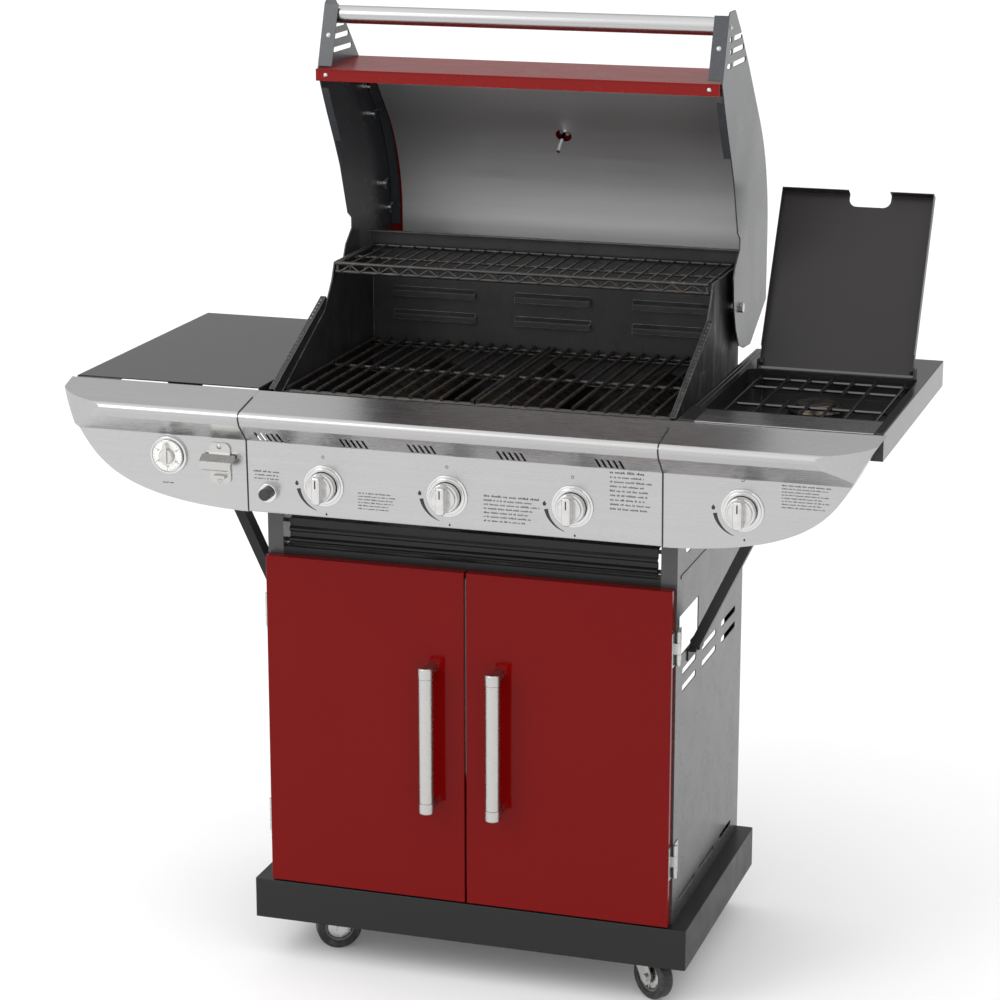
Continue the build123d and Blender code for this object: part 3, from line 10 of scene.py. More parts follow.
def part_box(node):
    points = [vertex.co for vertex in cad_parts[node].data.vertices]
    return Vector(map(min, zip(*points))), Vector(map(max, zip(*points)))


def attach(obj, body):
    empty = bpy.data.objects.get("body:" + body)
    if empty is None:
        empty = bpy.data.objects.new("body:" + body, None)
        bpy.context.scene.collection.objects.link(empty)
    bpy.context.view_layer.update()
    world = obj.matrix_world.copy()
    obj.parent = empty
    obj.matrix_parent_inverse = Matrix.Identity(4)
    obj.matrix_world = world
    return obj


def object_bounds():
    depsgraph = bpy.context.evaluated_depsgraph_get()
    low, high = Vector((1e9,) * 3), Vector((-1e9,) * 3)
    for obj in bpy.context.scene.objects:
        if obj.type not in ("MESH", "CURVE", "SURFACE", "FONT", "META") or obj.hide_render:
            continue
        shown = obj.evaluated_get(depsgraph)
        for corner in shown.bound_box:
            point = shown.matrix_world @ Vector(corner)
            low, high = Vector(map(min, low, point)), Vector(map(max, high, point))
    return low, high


# Looks of a gas barbecue grill: materials for every CAD node, small detail pieces, studio and camera.
# Everything is in metres in the CAD's own frame; a constant in mm is multiplied by MM.

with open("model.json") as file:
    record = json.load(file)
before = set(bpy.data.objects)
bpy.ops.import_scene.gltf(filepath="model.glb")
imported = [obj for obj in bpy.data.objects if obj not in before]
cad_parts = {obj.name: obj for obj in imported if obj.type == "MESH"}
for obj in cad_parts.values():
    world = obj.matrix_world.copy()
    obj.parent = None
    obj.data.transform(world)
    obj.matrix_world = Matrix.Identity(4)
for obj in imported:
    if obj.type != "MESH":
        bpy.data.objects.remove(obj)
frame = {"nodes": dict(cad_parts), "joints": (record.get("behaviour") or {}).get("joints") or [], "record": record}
CAD_BOX = [list(corner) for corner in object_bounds()]
NODES = frame["nodes"]
JOINTS = {joint["name"]: joint for joint in frame["joints"]}
NODE_SLOT = {part["node"]: part["material_slot"] for part in frame["record"]["subparts"]}
MM = 0.001
DRAWING_Y = -0.2365                      # the frame's y at the front of the doors, where the drawing's y is 0
DICE = random.Random(7)


# ---------------------------------------------------------------- camera
def add_camera():
    lens = bpy.data.cameras.new("camera")
    lens.lens = 105.8
    lens.sensor_width = 36.0
    holder = bpy.data.objects.new("camera", lens)
    holder.location = (1.31054, -4.16745, 1.87957)
    forward = Vector((-0.29385, 0.91978, -0.26009))
    holder.rotation_euler = forward.to_track_quat("-Z", "Y").to_euler()
    bpy.context.scene.collection.objects.link(holder)
    bpy.context.scene.camera = holder


# ---------------------------------------------------------------- material helpers
class Finish:
    """One procedural material: a Principled shader with short ways to feed it."""

    def __init__(self, name, metallic=0.0, specular=0.5):
        self.material = bpy.data.materials.new(name)
        self.material.use_nodes = True
        self.tree = self.material.node_tree
        self.shader = self.tree.nodes["Principled BSDF"]
        self.shader.inputs["Metallic"].default_value = metallic
        self.shader.inputs["Specular IOR Level"].default_value = specular
        coords = self.node("ShaderNodeTexCoord")
        self.place = coords.outputs["Object"]
        self.bumped = None

    def node(self, kind, **settings):
        made = self.tree.nodes.new(kind)
        for key, value in settings.items():
            setattr(made, key, value)
        return made

    def feed(self, socket, value):
        """Link a socket, or set a number or a colour."""
        if isinstance(value, bpy.types.NodeSocket):
            self.tree.links.new(value, socket)
        elif isinstance(value, (tuple, list)) and socket.type == "RGBA":
            socket.default_value = (*value, 1.0)
        else:
            socket.default_value = value

    def stretched(self, stretch):
        """Object coordinates, multiplied along each axis."""
        mapping = self.node("ShaderNodeMapping")
        self.feed(mapping.inputs["Vector"], self.place)
        mapping.inputs["Scale"].default_value = stretch
        return mapping.outputs["Vector"]

    def noise(self, scale, detail=3.0, roughness=0.55, stretch=None, warp=0.0):
        texture = self.node("ShaderNodeTexNoise")
        self.feed(texture.inputs["Vector"], self.stretched(stretch) if stretch else self.place)
        texture.inputs["Scale"].default_value = scale
        texture.inputs["Detail"].default_value = detail
        texture.inputs["Roughness"].default_value = roughness
        texture.inputs["Distortion"].default_value = warp
        return texture.outputs["Fac"]

    def cells(self, scale, smooth=0.35):
        texture = self.node("ShaderNodeTexVoronoi", feature="SMOOTH_F1")
        self.feed(texture.inputs["Vector"], self.place)
        texture.inputs["Scale"].default_value = scale
        texture.inputs["Smoothness"].default_value = smooth
        return texture.outputs["Distance"]

    def span(self, value, low, high, start=0.0, end=1.0):
        """Map low..high of a value to start..end, clamped."""
        ramp = self.node("ShaderNodeMapRange")
        self.feed(ramp.inputs["Value"], value)
        ramp.inputs["From Min"].default_value = low
        ramp.inputs["From Max"].default_value = high
        ramp.inputs["To Min"].default_value = start
        ramp.inputs["To Max"].default_value = end
        return ramp.outputs["Result"]

    def calc(self, operation, first, second=0.0):
        sum_node = self.node("ShaderNodeMath", operation=operation)
        self.feed(sum_node.inputs[0], first)
        self.feed(sum_node.inputs[1], second)
        return sum_node.outputs["Value"]

    def vector(self, operation, first, second=(0.0, 0.0, 0.0), output="Vector"):
        made = self.node("ShaderNodeVectorMath", operation=operation)
        self.feed(made.inputs[0], first)
        self.feed(made.inputs[1], second)
        return made.outputs[output]

    def mix(self, factor, first, second):
        """Blend two colours."""
        blend = self.node("ShaderNodeMix", data_type="RGBA")
        self.feed(blend.inputs["Factor"], factor)
        self.feed(blend.inputs["A"], first)
        self.feed(blend.inputs["B"], second)
        return blend.outputs["Result"]

    def edge(self, radius, low=0.02, high=0.12):
        """1 on convex and concave edges, 0 on flats, from the difference that rounding makes."""
        rounded = self.node("ShaderNodeBevel", samples=4)
        rounded.inputs["Radius"].default_value = radius
        plain = self.node("ShaderNodeNewGeometry")
        dot = self.vector("DOT_PRODUCT", rounded.outputs["Normal"], plain.outputs["Normal"], "Value")
        return self.span(self.calc("SUBTRACT", 1.0, dot), low, high)

    def rounded_edges(self, radius):
        """Feed the bump chain with normals that round sharp edges by the radius."""
        rounded = self.node("ShaderNodeBevel", samples=4)
        rounded.inputs["Radius"].default_value = radius
        self.bumped = rounded.outputs["Normal"]

    def bump(self, value, distance, strength=1.0):
        """Add a height in metres to the bump chain."""
        made = self.node("ShaderNodeBump")
        made.inputs["Strength"].default_value = strength
        made.inputs["Distance"].default_value = distance
        self.feed(made.inputs["Height"], value)
        if self.bumped is not None:
            self.feed(made.inputs["Normal"], self.bumped)
        self.bumped = made.outputs["Normal"]

    def done(self, color, roughness):
        self.feed(self.shader.inputs["Base Color"], color)
        self.feed(self.shader.inputs["Roughness"], roughness)
        if self.bumped is not None:
            self.feed(self.shader.inputs["Normal"], self.bumped)
        return self.material


def shade(color, factor):
    """A colour made lighter or darker."""
    return tuple(min(1.0, channel * factor) for channel in color)


# ---------------------------------------------------------------- materials
def paint(name, color, roughness, specular=0.5, peel=0.00004, wear=0.25,
          wear_color=(0.32, 0.31, 0.30), edge_radius=0.0006, clouding=0.06):
    """Powder coat or enamel on sheet steel: orange peel, clouded tone, smudges, rubbed edges."""
    finish = Finish(name, specular=specular)
    clouds = finish.noise(5.0, 4.0)
    smudges = finish.noise(23.0, 5.0, 0.6, warp=0.6)
    specks = finish.noise(900.0, 1.0)
    dull, bright = shade(color, 1.0 - clouding), shade(color, 1.0 + clouding)
    tone = finish.mix(finish.span(clouds, 0.3, 0.7), dull, bright)
    tone = finish.mix(finish.span(specks, 0.62, 0.78, 0.0, 0.2), tone, shade(color, 1.3))
    rubbed = finish.calc("MULTIPLY", finish.edge(edge_radius), finish.span(smudges, 0.42, 0.62, 0.0, wear))
    tone = finish.mix(rubbed, tone, wear_color)
    gloss = finish.span(smudges, 0.3, 0.7, roughness * 0.90, roughness * 1.12)
    finish.rounded_edges(edge_radius)
    finish.bump(finish.noise(330.0, 2.0), peel)
    finish.bump(finish.noise(1500.0, 1.0), peel * 0.3)
    return finish.done(tone, gloss)


def brushed(name, color, roughness, grain=0.000010, streaks=0.045):
    """Stainless sheet with fine grain along the row's x axis, soft clouding and broad faint streaks."""
    finish = Finish(name, metallic=1.0)
    fine = finish.noise(1.0, 2.0, stretch=(5.0, 1300.0, 1300.0))
    broad = finish.noise(1.0, 3.0, stretch=(1.5, 160.0, 160.0))
    clouds = finish.noise(6.0, 4.0, warp=0.4)
    tone = finish.mix(finish.span(fine, 0.3, 0.7), shade(color, 1.0 - streaks), shade(color, 1.0 + streaks))
    tone = finish.mix(finish.span(broad, 0.35, 0.65, 0.0, 0.5), tone, shade(color, 1.0 - streaks))
    tone = finish.mix(finish.span(clouds, 0.35, 0.75, 0.0, 0.30), tone, shade(color, 0.93))
    gloss = finish.calc("ADD", finish.span(fine, 0.3, 0.7, roughness * 0.9, roughness * 1.1),
                        finish.span(clouds, 0.4, 0.7, 0.0, 0.04))
    finish.rounded_edges(0.0007)
    finish.bump(fine, grain)
    return finish.done(tone, gloss)


def plated(name, color, roughness, dullness=0.25):
    """Chrome, nickel or zinc plating with faint haze, pits and a painted dark reflection along the edges."""
    finish = Finish(name, metallic=1.0)
    haze = finish.noise(24.0, 4.0, 0.5, warp=0.3)
    pits = finish.noise(1400.0, 1.0)
    tone = finish.mix(finish.span(haze, 0.35, 0.7, 0.0, dullness), color, shade(color, 0.62))
    # Edges darkened towards half tone: a painted dark reflection.
    tone = finish.mix(finish.calc("MULTIPLY", finish.edge(0.0005, 0.06, 0.25), 0.3), tone, shade(color, 0.5))
    gloss = finish.span(haze, 0.3, 0.75, roughness * 0.88, roughness * 1.2)
    finish.rounded_edges(0.0004)
    finish.bump(pits, 0.000002)
    return finish.done(tone, gloss)


def hammertone(name, color, roughness):
    """Fine dimpled paint of the lid's end plates and their flanges, with painted shade along edges and creases."""
    finish = Finish(name, specular=0.5)
    dimples = finish.cells(420.0, 0.6)
    clouds = finish.noise(7.0, 4.0)
    tone = finish.mix(finish.span(dimples, 0.1, 0.6), shade(color, 1.18), shade(color, 0.80))
    tone = finish.mix(finish.span(clouds, 0.35, 0.7, 0.0, 0.4), tone, shade(color, 0.82))
    # Edges and creases darkened towards near black: painted shade.
    tone = finish.mix(finish.calc("MULTIPLY", finish.edge(0.0006), 0.5), tone, (0.02, 0.02, 0.021))
    finish.rounded_edges(0.0006)
    finish.bump(dimples, 0.00007)
    finish.bump(finish.noise(1600.0, 1.0), 0.00001)
    return finish.done(tone, finish.span(clouds, 0.3, 0.7, roughness * 0.85, roughness * 1.15))


def heat_black(name, color):
    """High-heat paint of the firebox: soot and ash clouds, grease runs, louvre edges made bright with a painted
    highlight.
    """
    finish = Finish(name, specular=0.45)
    soot = finish.noise(11.0, 6.0, 0.62, warp=0.8)
    grease = finish.noise(34.0, 5.0, 0.6, stretch=(1.0, 1.0, 0.35), warp=1.2)
    ash = finish.noise(260.0, 2.0)
    tone = finish.mix(finish.span(soot, 0.35, 0.7), shade(color, 0.75), shade(color, 1.7))
    tone = finish.mix(finish.span(ash, 0.66, 0.80, 0.0, 0.5), tone, (0.09, 0.085, 0.08))
    # Louvre edges lightened, patchy with the grease noise: a painted highlight.
    wear_and_highlight = finish.calc("MULTIPLY", finish.edge(0.0012), finish.span(grease, 0.38, 0.60, 0.35, 0.95))
    tone = finish.mix(wear_and_highlight, tone, (0.34, 0.33, 0.32))
    finish.rounded_edges(0.0010)
    finish.bump(finish.noise(450.0, 3.0), 0.00006)
    finish.bump(grease, 0.0003)
    return finish.done(tone, finish.span(grease, 0.3, 0.68, 0.34, 0.62))


def enamel(name, color):
    """Glossy porcelain enamel on grate wires, with baked-on grease."""
    finish = Finish(name, specular=0.6)
    baked = finish.noise(70.0, 5.0, 0.65, warp=1.0)
    tone = finish.mix(finish.span(baked, 0.45, 0.62), color, (0.030, 0.020, 0.014))
    wear_and_highlight = finish.span(finish.noise(140.0, 4.0), 0.60, 0.70, 0.0, 0.6)
    tone = finish.mix(wear_and_highlight, tone, (0.10, 0.095, 0.09))
    finish.bump(baked, 0.00035)
    finish.bump(finish.noise(700.0, 2.0), 0.00005)
    return finish.done(tone, finish.span(baked, 0.35, 0.65, 0.22, 0.5))


def heat_steel(name, color):
    """Bare steel near the flames: straw and blue heat tint, soot and fine scale."""
    finish = Finish(name, metallic=1.0)
    tint = finish.noise(16.0, 4.0, warp=0.7)
    soot = finish.noise(48.0, 5.0, 0.6)
    tone = finish.mix(finish.span(tint, 0.35, 0.55), color, (0.17, 0.125, 0.075))
    tone = finish.mix(finish.span(tint, 0.52, 0.66), tone, (0.09, 0.095, 0.13))
    tone = finish.mix(finish.span(soot, 0.38, 0.58, 0.15, 0.95), tone, (0.025, 0.022, 0.020))
    finish.rounded_edges(0.0006)
    finish.bump(soot, 0.0001)
    finish.bump(finish.noise(1100.0, 2.0), 0.00002)
    return finish.done(tone, finish.span(soot, 0.35, 0.65, 0.28, 0.62))


def moulded(name, color, roughness, grain=0.00003):
    """Moulded plastic or ink: fine texture, faint sheen changes, paler edges."""
    finish = Finish(name, specular=0.45)
    texture = finish.noise(900.0, 2.0)
    wipe = finish.noise(40.0, 4.0)
    tone = finish.mix(finish.span(wipe, 0.3, 0.7), shade(color, 0.85), shade(color, 1.2))
    tone = finish.mix(finish.calc("MULTIPLY", finish.edge(0.0004), 0.3), tone, shade(color, 2.4))
    finish.rounded_edges(0.0004)
    finish.bump(texture, grain)
    return finish.done(tone, finish.span(wipe, 0.3, 0.7, roughness * 0.85, roughness * 1.15))


def metallised(name, color):
    """Satin metallised knob, with a painted dark reflection along its edges."""
    finish = Finish(name, metallic=1.0)
    clouds = finish.noise(90.0, 3.0)
    spin = finish.noise(1.0, 2.0, stretch=(900.0, 60.0, 900.0))
    tone = finish.mix(finish.span(clouds, 0.3, 0.7), shade(color, 0.90), shade(color, 1.06))
    # Edges darkened towards a quarter tone: a painted dark reflection round the knob's outline.
    tone = finish.mix(finish.calc("MULTIPLY", finish.edge(0.0010), 0.7), tone, shade(color, 0.25))
    finish.rounded_edges(0.0007)
    finish.bump(spin, 0.00001)
    return finish.done(tone, finish.span(clouds, 0.3, 0.7, 0.17, 0.27))


def caster_tyre(name, joint):
    """Black tread round a grey hub: the hub is what lies near the wheel's own axle."""
    finish = Finish(name, specular=0.4)
    centre = tuple(joint["pos_m"])
    arm = finish.vector("SUBTRACT", finish.place, centre)
    off_axis = finish.vector("CROSS_PRODUCT", arm, tuple(joint["axis"]))
    distance = finish.vector("LENGTH", off_axis, output="Value")
    hub = finish.span(distance, 0.0236, 0.0242, 1.0, 0.0)
    dust = finish.noise(120.0, 5.0, 0.6)
    tread = finish.mix(finish.span(dust, 0.45, 0.7), (0.012, 0.012, 0.013), (0.055, 0.052, 0.048))
    plastic = finish.mix(finish.span(dust, 0.4, 0.7), (0.10, 0.10, 0.105), (0.16, 0.155, 0.15))
    rings = finish.calc("SINE", finish.calc("MULTIPLY", distance, 2600.0))
    finish.rounded_edges(0.0008)
    finish.bump(rings, 0.00008)
    finish.bump(finish.noise(600.0, 3.0), 0.00008)
    return finish.done(finish.mix(hub, tread, plastic), finish.span(dust, 0.3, 0.7, 0.42, 0.62))


def brass(name, color):
    finish = Finish(name, metallic=1.0)
    tarnish = finish.noise(75.0, 5.0, 0.6)
    tone = finish.mix(finish.span(tarnish, 0.4, 0.68), color, shade(color, 0.42))
    finish.rounded_edges(0.0006)
    finish.bump(finish.noise(1.0, 2.0, stretch=(40.0, 1400.0, 1400.0)), 0.00002)
    return finish.done(tone, finish.span(tarnish, 0.3, 0.7, 0.24, 0.5))


MATERIALS = {
    "black_frame": paint("black_frame", (0.0085, 0.0085, 0.009), 0.40, specular=0.32, wear=0.3,
                         wear_color=(0.08, 0.08, 0.08)),
    "side_grey": paint("side_grey", (0.040, 0.041, 0.043), 0.26, specular=0.55, peel=0.000008,
                       wear=0.3, clouding=0.04),
    "door_red": paint("door_red", (0.142, 0.0016, 0.0014), 0.10, specular=0.12, peel=0.000006, wear=0.10,
                      wear_color=(0.24, 0.02, 0.02), clouding=0.03),
    "lid_red": paint("lid_red", (0.185, 0.007, 0.006), 0.26, specular=0.15, peel=0.00001, wear=0.12,
                     wear_color=(0.30, 0.04, 0.04), clouding=0.03),
    "stainless": brushed("stainless", (0.44, 0.44, 0.44), 0.25),
    "liner_steel": brushed("liner_steel", (0.62, 0.615, 0.615), 0.50, streaks=0.05),
    "satin_nickel": plated("satin_nickel", (0.48, 0.475, 0.46), 0.27, dullness=0.06),
    "chrome_trim": plated("chrome_trim", (0.60, 0.60, 0.60), 0.07, dullness=0.12),
    "silver_knob": metallised("silver_knob", (0.58, 0.575, 0.565)),
    "zinc": plated("zinc", (0.56, 0.56, 0.55), 0.26, dullness=0.5),
    "black_plastic": moulded("black_plastic", (0.022, 0.022, 0.022), 0.38),
    "brass_fittings": brass("brass_fittings", (0.55, 0.40, 0.17)),
    "shelf_black": paint("shelf_black", (0.014, 0.0135, 0.0135), 0.16, specular=0.4, peel=0.000008, wear=0.3,
                         wear_color=(0.14, 0.13, 0.13)),
    "burner_lid": paint("burner_lid", (0.020, 0.018, 0.0175), 0.33, specular=0.28, peel=0.00001, wear=0.5,
                        wear_color=(0.30, 0.29, 0.29)),
    "burner_steel": heat_steel("burner_steel", (0.20, 0.195, 0.185)),
    "wire_chrome": plated("wire_chrome", (0.10, 0.10, 0.10), 0.20, dullness=0.4),
    "firebox_black": heat_black("firebox_black", (0.013, 0.013, 0.0135)),
    "grate_enamel": enamel("grate_enamel", (0.012, 0.012, 0.012)),
    "hammertone": hammertone("hammertone", (0.044, 0.048, 0.054), 0.27),
}
INK = moulded("panel_ink", (0.018, 0.018, 0.018), 0.5, grain=0.00001)
DIAL_WHITE = moulded("dial_white", (0.75, 0.75, 0.73), 0.35, grain=0.00001)
POINTER_RED = moulded("pointer_red", (0.45, 0.02, 0.015), 0.35, grain=0.00001)


# ---------------------------------------------------------------- shading of the CAD nodes
def smoothing_group():
    """Node group: welds the CAD's facets and shades them smooth, with sharp edges kept."""
    group = bpy.data.node_groups.new("smooth_by_angle", "GeometryNodeTree")
    group.interface.new_socket("Geometry", in_out="INPUT", socket_type="NodeSocketGeometry")
    group.interface.new_socket("Geometry", in_out="OUTPUT", socket_type="NodeSocketGeometry")
    start = group.nodes.new("NodeGroupInput")
    weld = group.nodes.new("GeometryNodeMergeByDistance")
    weld.inputs["Distance"].default_value = 0.000004
    smooth = group.nodes.new("GeometryNodeSetShadeSmooth")
    smooth.domain = "FACE"
    sharp = group.nodes.new("GeometryNodeSetShadeSmooth")
    sharp.domain = "EDGE"
    angle = group.nodes.new("GeometryNodeInputMeshEdgeAngle")
    below = group.nodes.new("FunctionNodeCompare")
    below.operation = "LESS_THAN"
    below.inputs["B"].default_value = math.radians(32.0)
    end = group.nodes.new("NodeGroupOutput")
    group.links.new(start.outputs[0], weld.inputs["Geometry"])
    group.links.new(weld.outputs["Geometry"], smooth.inputs["Geometry"])
    group.links.new(smooth.outputs["Geometry"], sharp.inputs["Geometry"])
    group.links.new(angle.outputs["Unsigned Angle"], below.inputs["A"])
    group.links.new(below.outputs["Result"], sharp.inputs["Shade Smooth"])
    group.links.new(sharp.outputs["Geometry"], end.inputs[0])
    return group


SMOOTHING = smoothing_group()


def smooth(piece):
    modifier = piece.modifiers.new("smooth_by_angle", "NODES")
    modifier.node_group = SMOOTHING
    weighted = piece.modifiers.new("weighted_normals", "WEIGHTED_NORMAL")
    weighted.keep_sharp = True
    weighted.weight = 80
    return piece


def dress_cad_nodes():
    for name, piece in NODES.items():
        slot = NODE_SLOT[name]
        if slot == "caster_rubber":
            corner = name.rsplit("_", 1)[1]
            material = caster_tyre(f"caster_rubber_{corner}", JOINTS[f"wheel_roll_{corner}"])
        else:
            material = MATERIALS[slot]
        piece.data.materials.clear()
        piece.data.materials.append(material)
        smooth(piece)


# ---------------------------------------------------------------- piece helpers
def piece_from(mesh, name, material, body):
    """Turn a bmesh into a shown piece that rides on a body."""
    bmesh.ops.recalc_face_normals(mesh, faces=mesh.faces)
    data = bpy.data.meshes.new(name)
    mesh.to_mesh(data)
    mesh.free()
    data.materials.append(material)
    made = bpy.data.objects.new(name, data)
    bpy.context.scene.collection.objects.link(made)
    smooth(made)
    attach(made, body)
    return made


def add_prism(mesh, outline, place, low, high):
    """A flat outline in mm, raised between two heights in mm over the placed plane."""
    count = len(outline)
    floor = [mesh.verts.new(place @ Vector((u * MM, v * MM, low * MM))) for u, v in outline]
    roof = [mesh.verts.new(place @ Vector((u * MM, v * MM, high * MM))) for u, v in outline]
    mesh.faces.new(list(reversed(floor)))
    mesh.faces.new(roof)
    for index in range(count):
        after = (index + 1) % count
        mesh.faces.new((floor[index], floor[after], roof[after], roof[index]))


def add_turned(mesh, section, place, steps=48):
    """A closed section of (radius, height) points in mm, turned round the placed z axis."""
    rings = []
    for step in range(steps):
        angle = 2 * math.pi * step / steps
        ring = []
        for radius, height in section:
            spot = Vector((radius * math.cos(angle), radius * math.sin(angle), height)) * MM
            ring.append(mesh.verts.new(place @ spot))
        rings.append(ring)
    count = len(section)
    for step in range(steps):
        here, there = rings[step], rings[(step + 1) % steps]
        for index in range(count):
            after = (index + 1) % count
            mesh.faces.new((here[index], there[index], there[after], here[after]))


def add_tube(mesh, points, radius, steps=8):
    """A round wire through the points, in metres, with flat ends."""
    rings = []
    for index, point in enumerate(points):
        before = points[max(index - 1, 0)]
        after = points[min(index + 1, len(points) - 1)]
        along = (after - before).normalized()
        side = along.cross(Vector((0, 0, 1)) if abs(along.z) < 0.9 else Vector((0, 1, 0))).normalized()
        up = side.cross(along)
        ring = []
        for step in range(steps):
            angle = 2 * math.pi * step / steps
            ring.append(mesh.verts.new(point + (side * math.cos(angle) + up * math.sin(angle)) * radius))
        rings.append(ring)
    for here, there in zip(rings, rings[1:]):
        for step in range(steps):
            after = (step + 1) % steps
            mesh.faces.new((here[step], here[after], there[after], there[step]))
    mesh.faces.new(rings[0])
    mesh.faces.new(list(reversed(rings[-1])))


def axes(origin, x_axis, normal):
    """A placement whose z axis is the normal."""
    z_axis = Vector(normal).normalized()
    x_axis = (Vector(x_axis) - z_axis * Vector(x_axis).dot(z_axis)).normalized()
    y_axis = z_axis.cross(x_axis)
    turn = Matrix((x_axis, y_axis, z_axis)).transposed().to_4x4()
    return Matrix.Translation(Vector(origin)) @ turn


def centre_of(node):
    low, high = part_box(node)
    return (low + high) / 2


TREES = {}


def surface(node, x, z):
    """Placement on the front of a CAD node at (x, z), with its normal towards the cook."""
    if node not in TREES:
        data = NODES[node].data
        TREES[node] = BVHTree.FromPolygons([v.co for v in data.vertices], [p.vertices for p in data.polygons])
    spot, normal, _, _ = TREES[node].ray_cast(Vector((x, CAD_BOX[0][1] - 0.1, z)), Vector((0, 1, 0)))
    if normal.y > 0:
        normal = -normal
    return axes(spot, (1, 0, 0), normal)


# ---------------------------------------------------------------- control panel markings
INK_LOW, INK_HIGH = -0.05, 0.12          # mm below and above the sheet


def crescent(start, end, middle, thick, thin, steps=20):
    """A curved wedge mark that thins out from its start angle to its end angle, in degrees."""
    outer, inner = [], []
    for step in range(steps + 1):
        share = step / steps
        angle = math.radians(start + (end - start) * share)
        half = (thick + (thin - thick) * share) / 2
        outer.append(((middle + half) * math.cos(angle), (middle + half) * math.sin(angle)))
        inner.append(((middle - half) * math.cos(angle), (middle - half) * math.sin(angle)))
    return outer + list(reversed(inner))


def flame(centre, height):
    """A small drop-shaped flame symbol."""
    shape = []
    for step in range(14):
        angle = 2 * math.pi * step / 14
        narrow = 0.36 * height * math.sin(angle)
        rise = -math.cos(angle) * height * 0.5
        if rise > 0:
            narrow *= 1.0 - rise / (height * 0.52)
        shape.append((centre[0] + narrow, centre[1] + rise))
    return shape


def off_mark(mesh, place):
    """A small ring above each knob stands for the off position."""
    add_turned(mesh, [(2.3, INK_LOW), (2.3, INK_HIGH), (1.5, INK_HIGH), (1.5, INK_LOW)], place, 24)


def knob_marks(mesh, node, knob):
    middle = centre_of(knob)
    flat = surface(node, middle.x, middle.z + 0.040)
    place = flat @ Matrix.Translation((0, -0.040, 0))
    add_prism(mesh, crescent(190.0, 252.0, 40.2, 6.0, 0.7), place, INK_LOW, INK_HIGH)
    add_prism(mesh, flame((-42.0, 1.5), 8.0), place, INK_LOW, INK_HIGH)
    add_prism(mesh, flame((3.0, -43.0), 4.5), place, INK_LOW, INK_HIGH)
    off_mark(mesh, place @ Matrix.Translation((0, 0.0435, 0)))


def small_print(mesh, node, x_span, z_span, rows, centred=False, bold_first=True):
    """Rows of tiny bars that stand for printed words without saying anything."""
    low, high = z_span
    pitch = (high - low) / rows
    for row in range(rows):
        z = high - (row + 0.5) * pitch
        length = (x_span[1] - x_span[0]) * DICE.uniform(0.72, 1.0)
        left = x_span[0] + ((x_span[1] - x_span[0] - length) / 2 if centred else 0.0)
        place = surface(node, left * MM, z * MM)
        size = pitch * (0.52 if bold_first and row == 0 else 0.42)
        along = 0.0
        while along < length:
            letters = DICE.randint(2, 8)
            for _ in range(letters):
                tall = size * DICE.choice((0.7, 0.7, 1.0))
                width = size * DICE.uniform(0.30, 0.55)
                if along + width < length:
                    box = [(along, 0), (along + width, 0), (along + width, tall), (along, tall)]
                    add_prism(mesh, box, place, INK_LOW, INK_HIGH * 0.8)
                along += width + size * 0.22
            along += size * 0.75


def panel_markings():
    centre = bmesh.new()
    for knob in ("knob_1", "knob_2", "knob_3"):
        knob_marks(centre, "control_panel", knob)
    small_print(centre, "control_panel", (-142.0, -80.0), (752.0, 780.0), 6)
    small_print(centre, "control_panel", (50.0, 134.0), (749.0, 792.0), 7)
    small_print(centre, "control_panel", (238.0, 303.0), (782.0, 842.0), 9)
    small_print(centre, "control_panel", (-307.0, -262.0), (785.0, 801.0), 3, centred=True)
    piece_from(centre, "panel_print_centre", INK, "cart")
    right = bmesh.new()
    knob_marks(right, "right_fascia", "knob_4")
    small_print(right, "right_fascia", (485.0, 560.0), (806.0, 842.0), 8)
    piece_from(right, "panel_print_right", INK, "cart")
    left = bmesh.new()
    small_print(left, "left_fascia", (-451.0, -431.0), (767.0, 772.0), 1, bold_first=False)
    piece_from(left, "panel_print_left", INK, "cart")


def panel_seams():
    """Dark sealing beads down the two seams between the control panel and the fascias."""
    panel_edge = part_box("control_panel")[1].x
    for side, name in ((-1, "left"), (1, "right")):
        mesh = bmesh.new()
        points = []
        for step in range(49):
            z = (737.0 + 166.0 * step / 48) * MM
            point = surface("control_panel", side * (panel_edge - 0.6 * MM), z).translation
            point.x = side * (panel_edge + 0.1 * MM)
            points.append(point)
        add_tube(mesh, points, 1.3 * MM, 8)
        piece_from(mesh, f"panel_seam_{name}", INK, "cart")


# ---------------------------------------------------------------- knobs, dial, thermometer
def knob_details():
    """A dark pointer line on each grip."""
    for number in range(1, 5):
        knob = f"knob_{number}"
        low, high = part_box(knob)
        middle = (low + high) / 2
        front = axes((middle.x, low.y, middle.z), (1, 0, 0), (0, -1, 0))
        mesh = bmesh.new()
        add_prism(mesh, [(-1.0, 4.0), (1.0, 4.0), (1.0, 15.5), (0.0, 17.0), (-1.0, 15.5)], front, -0.4, 0.15)
        piece_from(mesh, f"{knob}_pointer", INK, knob)


def number_outline(text, size, place, name):
    """A generic number as a thin raised mesh."""
    curve = bpy.data.curves.new(name, "FONT")
    curve.body = text
    curve.size = size * MM
    curve.align_x = "CENTER"
    curve.align_y = "CENTER"
    curve.extrude = 0.00010
    temporary = bpy.data.objects.new(name, curve)
    bpy.context.scene.collection.objects.link(temporary)
    bpy.context.view_layer.update()
    evaluated = temporary.evaluated_get(bpy.context.evaluated_depsgraph_get())
    mesh = bmesh.new()
    mesh.from_mesh(evaluated.to_mesh())
    bpy.data.objects.remove(temporary)
    mesh.transform(place)
    return mesh


